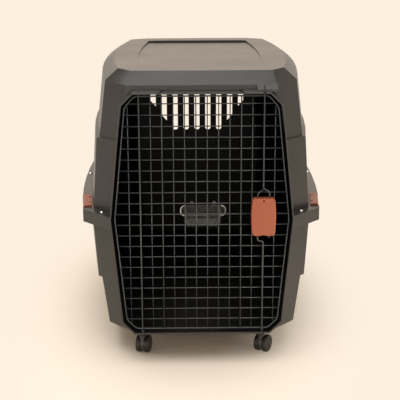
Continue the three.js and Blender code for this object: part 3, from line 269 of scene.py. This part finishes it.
scuffs, vector, size, result = new_group("scuffs", 14.0, "Mask")
flat = {"Vector": vector, "Scale": (1, 1, 9)}
streaks = add_node(scuffs, "ShaderNodeMapping", flat).outputs["Vector"]
marks = noise(scuffs, streaks, size, 6.0, 0.7)
scuffs.links.new(ranged(scuffs, marks, 0.60, 0.72), result)
print("groups:", [g.name for g in bpy.data.node_groups])

# %% [markdown]
# Each finish mixes its two tones by the cloudy mask, lets the edges go a little paler as wear and
# painted highlight, and puts the grain into a bump. The numbers that are the same all over, such as
# the sheen of the plastic, sit on the shader itself. The shells also carry painted shade inside:
# the cabin lies in deeper shade than this open room gives it, so below the vents its walls are
# painted dark and given less sheen.

# %% One builder for moulded and coated finishes
RUB_SIZE, RUB_AND_HIGHLIGHT_SHARE = 30, 0.8
SCUFF_SIZE = 14
GRAIN_DEPTH = 0.0004
SHEEN_OUTSIDE, SHEEN_IN_PAINTED_SHADE = 0.37, 0.1


def group_mask(tree, group, vector, size):
    box = add_node(tree, "ShaderNodeGroup", node_tree=group)
    tree.links.new(vector, box.inputs["Vector"])
    box.inputs["Size"].default_value = size
    return box.outputs[0]


def attribute(tree, name):
    return add_node(tree, "ShaderNodeAttribute", attribute_name=name).outputs["Fac"]


def finish(
    name, dark, light, rubbed, rough, bump, grain=900, clouds=4, scuff=0.0, inner=None, **plain
):
    material = bpy.data.materials.new(name)
    material.use_nodes = True
    tree = material.node_tree
    shader = tree.nodes["Principled BSDF"]
    place = tree.nodes.new("ShaderNodeTexCoord").outputs["Object"]
    tone = group_mask(tree, cloudy_tone, place, clouds)
    colour = mixed(tree, tone, dark, light)
    # Pale tone along the bevelled edges: partly wear, partly a painted highlight.
    rub = group_mask(tree, edge_rub_and_highlight, place, RUB_SIZE)
    colour = mixed(tree, calc(tree, "MULTIPLY", rub, RUB_AND_HIGHLIGHT_SHARE), colour, rubbed)
    if scuff:
        worn = calc(tree, "MULTIPLY", group_mask(tree, scuffs, place, SCUFF_SIZE), scuff)
        colour = mixed(tree, worn, colour, rubbed)
    # Painted shade: inside the cabin the colour goes to the painted shade tone and the sheen drops.
    if inner:
        deep = attribute(tree, "painted_shade_mask")
        colour = mixed(tree, deep, colour, inner)
        sheen = ranged(tree, deep, 0, 1, SHEEN_OUTSIDE, SHEEN_IN_PAINTED_SHADE)
        tree.links.new(sheen, shader.inputs["Specular IOR Level"])
    tree.links.new(colour, shader.inputs["Base Color"])
    tree.links.new(ranged(tree, tone, 0, 1, *rough), shader.inputs["Roughness"])
    height = group_mask(tree, mould_grain, place, grain)
    relief = {"Height": height, "Strength": bump, "Distance": GRAIN_DEPTH}
    bumped = add_node(tree, "ShaderNodeBump", relief).outputs["Normal"]
    tree.links.new(bumped, shader.inputs["Normal"])
    for label, value in plain.items():
        shader.inputs[label.replace("_", " ")].default_value = value
    return material


# %% The seven finishes
LOOKS = {
    "shell_plastic": dict(
        dark=(0.0215, 0.021, 0.0205),
        light=(0.0285, 0.028, 0.027),
        rubbed=(0.105, 0.099, 0.090),
        rough=(0.33, 0.41),
        grain=700,
        bump=0.25,
        scuff=0.25,
        # painted shade on the cabin walls
        inner=(0.006, 0.006, 0.006),
    ),
    "coated_wire": dict(
        dark=(0.015, 0.020, 0.024),
        light=(0.023, 0.030, 0.035),
        rubbed=(0.1, 0.1, 0.1),
        rough=(0.34, 0.44),
        bump=0.12,
    ),
    "black_plastic": dict(
        dark=(0.018, 0.017, 0.017),
        light=(0.026, 0.025, 0.024),
        rubbed=(0.07, 0.065, 0.06),
        rough=(0.4, 0.5),
        bump=0.15,
    ),
    "orange_plastic": dict(
        dark=(0.225, 0.051, 0.020),
        light=(0.262, 0.062, 0.024),
        rubbed=(0.60, 0.26, 0.16),
        rough=(0.42, 0.5),
        bump=0.12,
    ),
    "wheel_rubber": dict(
        dark=(0.011, 0.010, 0.010),
        light=(0.018, 0.016, 0.016),
        rubbed=(0.06, 0.055, 0.055),
        rough=(0.5, 0.62),
        bump=0.2,
        Specular_IOR_Level=0.28,
    ),
    "bright_steel": dict(
        dark=(0.62, 0.62, 0.61),
        light=(0.72, 0.72, 0.70),
        rubbed=(0.8, 0.8, 0.79),
        rough=(0.22, 0.34),
        clouds=60,
        bump=0.03,
        Metallic=1.0,
    ),
    # its pale edge tone is the painted highlight on the ends of the bowl's bead
    "clear_plastic": dict(
        dark=(0.19, 0.19, 0.18),
        light=(0.25, 0.25, 0.235),
        rubbed=(0.8, 0.8, 0.78),
        rough=(0.16, 0.24),
        clouds=12,
        grain=120,
        bump=0.01,
    ),
}
finishes = {name: finish(name, **look) for name, look in LOOKS.items()}
print("finishes:", sorted(finishes))

# %% [markdown]
# Clear plastic is seen mostly where it turns away from the eye, and at thick edges.

# %% Opacity of the clear plastic
CLEAREST, CLOUDIEST, EDGE_OPACITY = 0.03, 0.8, 0.55
tree = finishes["clear_plastic"].node_tree
turned_away = add_node(tree, "ShaderNodeLayerWeight", {"Blend": 0.5}).outputs["Facing"]
opacity = ranged(tree, calc(tree, "POWER", turned_away, 2.5), 0.0, 1.0, CLEAREST, CLOUDIEST)
# The edge mask also makes the bead's painted highlight more opaque.
at_edges = calc(tree, "MULTIPLY", attribute(tree, "edge"), EDGE_OPACITY)
opacity = calc(tree, "MAXIMUM", opacity, at_edges)
tree.links.new(opacity, tree.nodes["Principled BSDF"].inputs["Alpha"])
print("opacity from", CLEAREST, "to", CLOUDIEST)

# %% [markdown]
# ## From a CAD solid to a moulded piece
#
# The imported solids have knife edges, which real mouldings never have. A copy of the solid is
# merged, its flat triangles are dissolved into faces, and every crisp edge gets a small
# rounded bevel. The bevel strips are marked, so that the finish can rub them paler and paint a
# highlight along them.
# The creases where the front band turns into the corner facets get none: left smooth, they
# let the shading run softly round the corner.

# %% Bevelled copies of CAD solids
slot_of_node = {row["node"]: row["material_slot"] for row in frame["record"]["subparts"]}


def show(bm, name, like, replaces=()):
    mesh = bpy.data.meshes.new(name)
    bm.to_mesh(mesh)
    bm.free()
    for polygon in mesh.polygons:
        polygon.use_smooth = True
    piece = bpy.data.objects.new(name, mesh)
    bpy.context.scene.collection.objects.link(piece)
    slot = slot_of_node[like]
    mesh.materials.append(finishes[slot])
    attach(piece, body_of_node[like])
    if replaces:
        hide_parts(*replaces)
    return piece


def even_normals(piece):
    settle = piece.modifiers.new("even_normals", "WEIGHTED_NORMAL")
    settle.weight = 90
    settle.keep_sharp = True
    return piece


def rounded(bm, edges, width, segments=2, clamp=False):
    return bmesh.ops.bevel(
        bm,
        geom=edges,
        offset=width,
        offset_type="OFFSET",
        affect="EDGES",
        segments=segments,
        profile=0.5,
        material=-1,
        clamp_overlap=clamp,
    )


MERGE_DIST = 2e-5
FLAT_ANGLE, CRISP_ANGLE, CREASE_ANGLE = radians(0.6), radians(25), radians(10)
CREASE_LENGTH = 0.02
CABIN_MIDDLE = Vector((0, 0, 0.42))
TRAY_TOP_Z = 0.3
DARK_BELOW_Z = 0.585


def brow_creases(bm):
    def leans_back(face):
        return face.normal.y < -0.25 and 0.3 < face.normal.z < 0.9

    return [
        e
        for e in bm.edges
        if len(e.link_faces) == 2
        and all(leans_back(f) for f in e.link_faces)
        and e.calc_face_angle(0) > CREASE_ANGLE
        and e.calc_length() > CREASE_LENGTH
    ]


# Painted shade mask: faces that look into the cabin get 1 below DARK_BELOW_Z. Higher up, where the vents let light
# in, they get 0.
def paint_inner_shade(bm, painted_shade_layer):
    for face in bm.faces:
        middle = face.calc_center_median()
        on_flange = face.normal.z > 0.3 and middle.z > TRAY_TOP_Z
        if (CABIN_MIDDLE - middle).dot(face.normal) > 0 and not on_flange:
            for loop in face.loops:
                loop[painted_shade_layer] = 0.0 if middle.z > DARK_BELOW_Z else 1.0


def moulded(node, width):
    bm = bmesh.new()
    bm.from_mesh(nodes[node].data)
    bmesh.ops.remove_doubles(bm, verts=bm.verts, dist=MERGE_DIST)
    bmesh.ops.dissolve_limit(bm, angle_limit=FLAT_ANGLE, verts=bm.verts, edges=bm.edges)
    soft = brow_creases(bm) if node == "upper_shell" else []
    crisp = [
        e
        for e in bm.edges
        if len(e.link_faces) == 2 and e.calc_face_angle(0) > CRISP_ANGLE and e not in soft
    ]
    mark = bm.loops.layers.float.new("edge")
    painted_shade_layer = bm.loops.layers.float.new("painted_shade_mask")
    for face in rounded(bm, crisp, width, clamp=True)["faces"]:
        for loop in face.loops:
            loop[mark] = 1.0
    if node in ("upper_shell", "lower_shell"):
        paint_inner_shade(bm, painted_shade_layer)
    return even_normals(show(bm, node + "_moulded", node, replaces=[node]))


for node in nodes:
    nodes[node].data.materials.clear()
    nodes[node].data.materials.append(finishes[slot_of_node[node]])

edge_width = {
    "upper_shell": 0.0018,
    "lower_shell": 0.0018,
    "latch_cover": 0.0015,
    "latch_grip": 0.0006,
    "latch_carrier": 0.0005,
}
edge_width.update({n: 0.0008 for n in nodes if n.startswith("clip_") and "pin" not in n})
edge_width.update({n: 0.0006 for n in nodes if n.startswith("wing_nut")})
edge_width.update({n: 0.0007 for n in nodes if n.endswith("housing")})
for node, width in edge_width.items():
    piece = moulded(node, width)
    print(piece.name, len(piece.data.polygons), "faces")

# %% [markdown]
# ## Wire and rod
#
# A wire door is straight wires welded where they cross, inside one bent frame wire. In the
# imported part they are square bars. Each real wire is round, so a ring is carried along the
# wire's path: every step extrudes the ring and tilts it into the plane between two runs,
# which keeps bends from pinching. Bends are eased first, because a bending tool has a radius.

# %% Bent round bars
def eased(path, reach, steps=5):
    points = [Vector(p) for p in path]
    curve = [points[0]]
    for before, corner, after in zip(points, points[1:], points[2:]):
        back = corner + (before - corner).normalized() * reach
        ahead = corner + (after - corner).normalized() * reach
        for k in range(steps + 1):
            t = k / steps
            curve.append(back.lerp(corner, t).lerp(corner.lerp(ahead, t), t))
    return curve + [points[-1]]


def bent_bar(bm, path, radius, sides=10, tip=0.0):
    runs = [(b - a).normalized() for a, b in zip(path, path[1:])]
    start = Matrix.Translation(path[0]) @ runs[0].to_track_quat("Z", "Y").to_matrix().to_4x4()
    made = bmesh.ops.create_circle(bm, cap_ends=False, radius=radius, segments=sides, matrix=start)
    first = list({e for v in made["verts"] for e in v.link_edges})
    rim = first
    for i, run in enumerate(runs):
        grown = bmesh.ops.extrude_edge_only(bm, edges=rim)["geom"]
        ring = {g for g in grown if isinstance(g, bmesh.types.BMVert)}
        rim = [g for g in grown if isinstance(g, bmesh.types.BMEdge) and ring.issuperset(g.verts)]
        plane = (run + runs[i + 1]).normalized() if i + 1 < len(runs) else run
        for v in ring:
            v.co += run * ((path[i + 1] - v.co).dot(plane) / run.dot(plane))
    if (path[0] - path[-1]).length < 1e-6:
        seam = list({v for e in first + rim for v in e.verts})
        bmesh.ops.remove_doubles(bm, verts=seam, dist=1e-5)
        return
    for end in (first, rim):
        bmesh.ops.edgeloop_fill(bm, edges=end)
    if tip:
        rounded(bm, first + rim, tip)


def straight_bar(bm, start, end, radius, sides=10, tip=0.0):
    bent_bar(bm, [Vector(start), Vector(end)], radius, sides, tip)


def closed_mesh(bm):
    bmesh.ops.recalc_face_normals(bm, faces=bm.faces)
    return bm


print("helpers for bars ready")

# %% [markdown]
# ## The door
#
# Twenty-one wires run across and fourteen stand behind them, less the one behind the latch.
# The frame wire follows the opening, so each wire ends where it meets that outline. A small
# bead sits at every weld.

# %% Wires of the door
ROWS, COLUMNS, LATCH_COLUMN = 21, 14, 12
DOOR_Y = -0.493
TOP_ROW_Z = 0.7024
PITCH = 0.0286
WIRE_R, FRAME_R, BEAD_R = 0.0015, 0.002, 0.0017
WELD_SINK = 0.0003
FRAME_CORNERS = (
    (0.17327, 0.103),
    (0.19834, 0.12807),
    (0.22396, 0.40295),
    (0.19338, 0.69289),
    (0.16827, 0.7215),
)
DOOR_LOW, DOOR_HIGH = FRAME_CORNERS[0][1], FRAME_CORNERS[-1][1]


def column_x(column):
    return (column - (COLUMNS - 1) / 2) * PITCH


def row_z(row):
    return TOP_ROW_Z - row * PITCH


def frame_half_width(z):
    for (x0, z0), (x1, z1) in zip(FRAME_CORNERS, FRAME_CORNERS[1:]):
        if z0 <= z <= z1:
            return x0 + (x1 - x0) * (z - z0) / (z1 - z0)


def frame_ends(x):
    (x0, z0), (x1, z1) = FRAME_CORNERS[:2]
    (x3, z3), (x4, z4) = FRAME_CORNERS[-2:]
    low = z0 if abs(x) <= x0 else z0 + (abs(x) - x0) * (z1 - z0) / (x1 - x0)
    high = z4 if abs(x) <= x4 else z4 + (abs(x) - x4) * (z3 - z4) / (x3 - x4)
    return low, high


door_mesh = bmesh.new()
for row in range(ROWS):
    reach = frame_half_width(row_z(row))
    straight_bar(door_mesh, (-reach, DOOR_Y, row_z(row)), (reach, DOOR_Y, row_z(row)), WIRE_R)
for column in range(COLUMNS):
    if column != LATCH_COLUMN:
        x, y = column_x(column), DOOR_Y + 2 * WIRE_R - WELD_SINK
        low, high = frame_ends(x)
        straight_bar(door_mesh, (x, y, low), (x, y, high), WIRE_R)
        for row in range(ROWS):
            if abs(x) < frame_half_width(row_z(row)):
                weld = Matrix.Translation((x, DOOR_Y + WIRE_R, row_z(row)))
                bmesh.ops.create_icosphere(door_mesh, subdivisions=1, radius=BEAD_R, matrix=weld)
wires = show(closed_mesh(door_mesh), "door_wires", "door_grille", replaces=["door_grille"])
print("door wires:", len(wires.data.polygons), "faces")

# %% [markdown]
# ## Frame, hinge rod, stiffeners and guides
#
# The frame is one wire bent round the opening and butt-welded. The hinge rod and the two
# stiffeners are straight rods in front of the mesh, and small staples guide the latch rods.

# %% Frame wire
FRAME_BEND = 0.009
joint_place = (0, DOOR_Y, DOOR_LOW)
corners = [(x, DOOR_Y, z) for x, z in FRAME_CORNERS]
mirrored_corners = [(-x, y, z) for x, y, z in reversed(corners)]
outline = [joint_place] + corners + mirrored_corners + [joint_place]
frame_wire = bmesh.new()
bent_bar(frame_wire, eased(outline, FRAME_BEND), FRAME_R, sides=12)
frame_piece = show(closed_mesh(frame_wire), "door_frame_wire", "door_grille")
print("frame wire:", len(frame_piece.data.polygons), "faces")

# %% Hinge rod with its washer, and the stiffeners
ROD_R, STIFFENER_R, WASHER_R = 0.002, 0.0016, 0.004
ROD_SIDES, ROD_TIP = 14, 0.0006
ROD_FOOT_Z, HINGE_HEAD_Z = 0.086, 0.735
HINGE_X, HINGE_Y = column_x(1), -0.4962
WASHER_Z, WASHER_T = 0.0958, 0.003

rods = bmesh.new()
hinge_foot, hinge_head = (HINGE_X, HINGE_Y, ROD_FOOT_Z), (HINGE_X, HINGE_Y, HINGE_HEAD_Z)
straight_bar(rods, hinge_foot, hinge_head, ROD_R, ROD_SIDES, ROD_TIP)
bmesh.ops.create_cone(
    rods,
    cap_ends=True,
    segments=20,
    radius1=WASHER_R,
    radius2=WASHER_R,
    depth=WASHER_T,
    matrix=Matrix.Translation((HINGE_X, HINGE_Y, WASHER_Z)),
)
for column in (3, 10):
    x, y = column_x(column), DOOR_Y - 2 * WIRE_R + WELD_SINK
    low, high = frame_ends(x)
    straight_bar(rods, (x, y, low), (x, y, high), STIFFENER_R, 12)
rod_piece = show(closed_mesh(rods), "door_rods", "door_grille")
print("door rods:", len(rod_piece.data.polygons), "faces")

# %% Staples that guide the latch rods
LATCH_X, ROD_Y = column_x(LATCH_COLUMN), -0.4974
STAPLE_R, STAPLE_GAP, STAPLE_BEND = 0.0009, 0.0006, 0.0028
STAPLE_ROWS = (1, 4, 6, 14, 16, 18)
side = ROD_R + STAPLE_GAP + STAPLE_R
back, front = DOOR_Y - 0.0012, ROD_Y - side

staples = bmesh.new()
for z in [row_z(row) for row in STAPLE_ROWS] + [DOOR_LOW, DOOR_HIGH]:
    path = [
        (LATCH_X - side, back, z),
        (LATCH_X - side, front, z),
        (LATCH_X + side, front, z),
        (LATCH_X + side, back, z),
    ]
    bent_bar(staples, eased(path, STAPLE_BEND, 4), STAPLE_R, 8)
staple_piece = show(closed_mesh(staples), "door_staples", "door_grille")
print("staples:", len(staple_piece.data.polygons), "faces")

# %% [markdown]
# ## Latch rods and springs
#
# The upper rod forks above the cover: one leg runs on through it, the other ends in its top
# wall. The lower rod bends across to the left leg. Both are the same round rod, so the same
# helper makes them, with the ends domed as a cropped and tumbled rod has them.

# %% Latch rods
COVER_LOW, COVER_HIGH = 0.3624, 0.4624
LEG_Y = DOOR_Y - 0.0135
LEFT_LEG, RIGHT_LEG = LATCH_X - 0.015, LATCH_X + 0.015
LATCH_HEAD_Z, GRIP_Z = 0.749, 0.411
ROD_BEND, LATCH_TIP = 0.005, 0.0007
fork_z = COVER_HIGH + 0.021

upper_rod = bmesh.new()
main = [
    (RIGHT_LEG, LEG_Y, COVER_LOW - 0.007),
    (RIGHT_LEG, LEG_Y, fork_z - 0.005),
    (LATCH_X, ROD_Y, fork_z),
    (LATCH_X, ROD_Y, LATCH_HEAD_Z),
]
bent_bar(upper_rod, eased(main, ROD_BEND), ROD_R, ROD_SIDES, LATCH_TIP)
tine = [
    (LEFT_LEG, LEG_Y, COVER_HIGH - 0.0025),
    (LEFT_LEG, LEG_Y, fork_z - 0.011),
    (LATCH_X + 0.001, ROD_Y - 0.0006, fork_z - 0.0004),
]
bent_bar(upper_rod, eased(tine, ROD_BEND), ROD_R, ROD_SIDES)
show(closed_mesh(upper_rod), "upper_latch_rod", "latch_rod_upper", replaces=["latch_rod_upper"])

lower_rod = bmesh.new()
path = [
    (LATCH_X, ROD_Y, ROD_FOOT_Z),
    (LATCH_X, ROD_Y, COVER_LOW - 0.019),
    (LEFT_LEG, LEG_Y, COVER_LOW - 0.014),
    (LEFT_LEG, LEG_Y, GRIP_Z),
]
bent_bar(lower_rod, eased(path, ROD_BEND), ROD_R, ROD_SIDES, LATCH_TIP)
show(closed_mesh(lower_rod), "lower_latch_rod", "latch_rod_lower", replaces=["latch_rod_lower"])
print("latch rods made")

# %% Springs round the latch legs
TURNS, TURN_STEPS = 7, 16
COIL_R, COIL_WIRE_R = 0.0036, 0.0006
COIL_END = 2 * COIL_WIRE_R


def coil(name, like, x):
    (_, _, z0), (_, _, z1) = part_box(like)
    steps = TURNS * TURN_STEPS
    path = []
    for i in range(steps + 1):
        angle = tau * i / TURN_STEPS
        rise = z0 + COIL_END + (z1 - z0 - 2 * COIL_END) * i / steps
        path.append(Vector((x + COIL_R * cos(angle), LEG_Y + COIL_R * sin(angle), rise)))
    bm = bmesh.new()
    bent_bar(bm, path, COIL_WIRE_R, 8)
    piece = show(closed_mesh(bm), name, like, replaces=[like])
    length = z1 - z0
    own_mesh(piece)
    return length


upper_length = coil("upper_spring", "latch_spring_upper", RIGHT_LEG)
lower_length = coil("lower_spring", "latch_spring_lower", LEFT_LEG)
print("springs:", round(upper_length, 4), round(lower_length, 4))

# %% [markdown]
# ## The bowl
#
# The bowl is one clear moulding: a cup with tapered sides and a rounded hanger bar across its
# back. The cup starts as a block whose foot is drawn in, its upright edges are bevelled round,
# its top is opened and the skin is given a wall. Four thin ribs run down the side that
# faces the door.

# %% Cup of the bowl
BOWL_X, RIM_Z = 0.003, 0.415
PLATE_FRONT = DOOR_Y + 0.0048
PLATE_BACK = PLATE_FRONT + 0.003
PLATE_MIDDLE = PLATE_FRONT + 0.0015
CUP_WIDTH, CUP_DEPTH, CUP_HEIGHT = 0.0945, 0.0765, 0.034
CUP_TAPER = (0.935, 0.925, 1)
CUP_WALL, CUP_CORNER, CUP_FOOT_CORNER = 0.0022, 0.009, 0.004

cup = bmesh.new()
centre = Matrix.Translation((BOWL_X, PLATE_MIDDLE + CUP_DEPTH / 2, RIM_Z - CUP_HEIGHT / 2))
block = centre @ Matrix.Diagonal((CUP_WIDTH, CUP_DEPTH, CUP_HEIGHT, 1))
bmesh.ops.create_cube(cup, size=1.0, matrix=block)
foot = [v for v in cup.verts if v.co.z < RIM_Z - CUP_HEIGHT / 2]
drawn_to = Matrix.Translation((-BOWL_X, -PLATE_MIDDLE, 0))
bmesh.ops.scale(cup, vec=CUP_TAPER, space=drawn_to, verts=foot)
upright_edges = [e for e in cup.edges if abs((e.verts[0].co - e.verts[1].co).z) > CUP_HEIGHT / 2]
rounded(cup, upright_edges, CUP_CORNER, 6)
top = [f for f in cup.faces if f.normal.z > 0.9]
bmesh.ops.delete(cup, geom=top, context="FACES")
foot_rim = [
    e for e in cup.edges if len(e.link_faces) == 2 and e.calc_face_angle(0) > radians(60)
]
rounded(cup, foot_rim, CUP_FOOT_CORNER, 4)
bmesh.ops.recalc_face_normals(cup, faces=cup.faces)
bmesh.ops.solidify(cup, geom=cup.faces[:], thickness=CUP_WALL)
print("cup:", len(cup.faces), "faces")

# %% Hanger bar, hooks and ribs
def rounded_bar(bm, x_span, y_span, z_span, corner, segments=2, edge=0.0004):
    spans = (x_span, y_span, z_span)
    size = Matrix.Diagonal((*(high - low for low, high in spans), 1))
    place = Matrix.Translation([(low + high) / 2 for low, high in spans])
    made = bmesh.ops.create_cube(bm, size=1.0, matrix=place @ size)["verts"]
    edges = {e for v in made for e in v.link_edges}
    deep = (y_span[1] - y_span[0]) * 0.9
    along_y = [e for e in edges if abs((e.verts[0].co - e.verts[1].co).y) > deep]
    turned = rounded(bm, along_y, corner, segments, clamp=True)
    faces = {f for v in turned["verts"] for f in v.link_faces}
    rim = [e for e in {e for f in faces for e in f.edges} if e.calc_face_angle(0) > radians(60)]
    rounded(bm, rim, edge, clamp=True)


HANGER_X = (BOWL_X - 0.059, BOWL_X + 0.059)
HANGER_Z = (RIM_Z - 0.006, 0.438)
HOOK_HALF, HOOK_T, HOOK_DROP, HOOK_FOOT_Z = 0.004, 0.0024, 0.007, 0.430
LIP_Y = (DOOR_Y - 0.0042, DOOR_Y - 0.0018)
plate_y = (PLATE_FRONT, PLATE_BACK)
rounded_bar(cup, HANGER_X, plate_y, HANGER_Z, 0.0143, 8, 0.0012)
seat = row_z(9) + WIRE_R + 0.0003
hook_top = seat + HOOK_T
for side in (-1, 1):
    middle = BOWL_X + side * PITCH
    hook_x = (middle - HOOK_HALF, middle + HOOK_HALF)
    rounded_bar(cup, hook_x, plate_y, (HOOK_FOOT_Z, hook_top), 0.001)
    rounded_bar(cup, hook_x, (LIP_Y[0], PLATE_BACK), (seat, hook_top), 0.0008)
    rounded_bar(cup, hook_x, LIP_Y, (seat - HOOK_DROP, hook_top), 0.0008)
for offset in (-0.0400, -0.0317, 0.0285, 0.0390):
    x, y = BOWL_X + offset, PLATE_BACK - 0.001
    straight_bar(cup, (x, y, RIM_Z - 0.031), (x, y, RIM_Z - 0.008), 0.0009, 8)
bowl = even_normals(show(closed_mesh(cup), "hanging_bowl", "water_bowl", replaces=["water_bowl"]))
print("bowl:", len(bowl.data.polygons), "faces")

# %% [markdown]
# A folded bead stiffens the hanger bar. Its two ends carry a painted highlight: there the edge
# mask is set full, so they take the pale edge tone of the clear finish and its highest opacity.
# This stands in for the light that enters clear plastic and comes out again at such thick edges.

# %% Bead round the bowl
BOWL_BEAD_R, BEAD_CORNER = 0.0014, 0.0125
PAINTED_HIGHLIGHT_FROM_X, DULL = 0.046, 0.12
low, high = HANGER_Z[0] + BOWL_BEAD_R, HANGER_Z[1] - BOWL_BEAD_R
left, right = HANGER_X[0] + BOWL_BEAD_R, HANGER_X[1] - BOWL_BEAD_R
ring = [(BOWL_X, low), (right, low), (right, high), (left, high), (left, low), (BOWL_X, low)]
bead = bmesh.new()
path = eased([(x, PLATE_MIDDLE, z) for x, z in ring], BEAD_CORNER, 8)
bent_bar(bead, path, BOWL_BEAD_R, 8)
# Painted highlight: the bead's ends get the full edge mask, the rest only a little.
bright = bead.loops.layers.float.new("edge")
for face in bead.faces:
    for loop in face.loops:
        loop[bright] = 1.0 if abs(loop.vert.co.x - BOWL_X) > PAINTED_HIGHLIGHT_FROM_X else DULL
show(closed_mesh(bead), "bowl_bead", "water_bowl")
print("bead made")

# %% [markdown]
# ## Small steel
#
# Bolts are turned parts, so each starts as half a profile that is spun round its axis; the hinge
# pins are round bars. The bolt heads are low domes that catch the light above the dark flange.

# %% A spinner for turned parts
def spun(bm, profile, place, steps=24):
    verts = [bm.verts.new(place @ Vector((r, 0, z))) for r, z in profile]
    edges = [bm.edges.new(pair) for pair in zip(verts, verts[1:])]
    axis = place.to_3x3() @ Vector((0, 0, 1))
    bmesh.ops.spin(
        bm,
        geom=verts + edges,
        cent=place.translation,
        axis=axis,
        dvec=(0, 0, 0),
        angle=tau,
        steps=steps,
        use_merge=True,
        use_duplicate=False,
    )
    bmesh.ops.remove_doubles(bm, verts=bm.verts, dist=2e-6)


# %% Bolts through the flange
FLANGE_TOP_Z = 0.4103
bolt_nodes = [node for node in nodes if node.startswith("bolt_")]
bolts = bmesh.new()
dome = (
    (0, 0.004), (0.0016, 0.00385), (0.0031, 0.0034), (0.0043, 0.0026), (0.0051, 0.0016),
    (0.0055, 0.0006), (0.0055, 0.0), (0.003, 0.0), (0.003, -0.0246), (0.0026, -0.0253),
    (0, -0.0253),
)
for node in bolt_nodes:
    low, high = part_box(node)
    middle = ((low[0] + high[0]) / 2, (low[1] + high[1]) / 2, FLANGE_TOP_Z)
    spun(bolts, dome, Matrix.Translation(middle))
show(closed_mesh(bolts), "flange_bolts", bolt_nodes[0], replaces=bolt_nodes)
print("bolts:", len(bolt_nodes))

# %% Hinge pins of the clips
PIN_HALF, PIN_R, PIN_TIP = 0.055, 0.0015, 0.0004
pin_nodes = [node for node in nodes if node.startswith("clip_pin")]
pins = bmesh.new()
for joint in frame["joints"]:
    if joint["name"].startswith("clip_"):
        middle, along = Vector(joint["pos_m"]), Vector(joint["axis"]).normalized()
        start, end = middle - along * PIN_HALF, middle + along * PIN_HALF
        straight_bar(pins, start, end, PIN_R, 14, PIN_TIP)
show(closed_mesh(pins), "clip_hinge_pins", pin_nodes[0], replaces=pin_nodes)
print("pins:", len(pin_nodes))

# %% [markdown]
# ## Wheels
#
# Each caster has two wheels on one axle. A wheel is a single turned shape: a rounded tread, a
# shallow groove where the tyre meets the hub, and a slightly dished face with a cap.

# %% Caster wheels
wheel_profile = (
    (0, 0.009), (0.0033, 0.009), (0.0033, 0.0), (0.019, 0.0), (0.0195, 0.0007), (0.0205, 0.0007),
    (0.0212, 0.0), (0.0226, 0.0005), (0.0236, 0.0016), (0.024, 0.0032), (0.024, 0.0098),
    (0.0236, 0.0114), (0.0226, 0.0125), (0.0212, 0.013), (0.0200, 0.0129), (0.0194, 0.0122),
    (0.0186, 0.0122), (0.0180, 0.0128), (0.0168, 0.0129), (0.0120, 0.0123), (0.0062, 0.0120),
    (0.0056, 0.0126), (0.0030, 0.0129), (0, 0.013),
)
HUB_OFFSET, WHEEL_STEPS = 0.005, 48
wheel_joints = {j["child"]: j for j in frame["joints"] if j["name"].startswith("wheel_")}
for node in [n for n in nodes if "_wheel_" in n]:
    joint = wheel_joints[body_of_node[node]]
    side = -1 if node.endswith("_l") else 1
    out = Vector(joint["axis"]).normalized() * side
    hub = Matrix.Translation(Vector(joint["pos_m"]) + out * HUB_OFFSET)
    bm = bmesh.new()
    spun(bm, wheel_profile, hub @ out.to_track_quat("Z", "Y").to_matrix().to_4x4(), WHEEL_STEPS)
    show(closed_mesh(bm), node + "_turned", node, replaces=[node])
print("wheels:", len(wheel_joints))
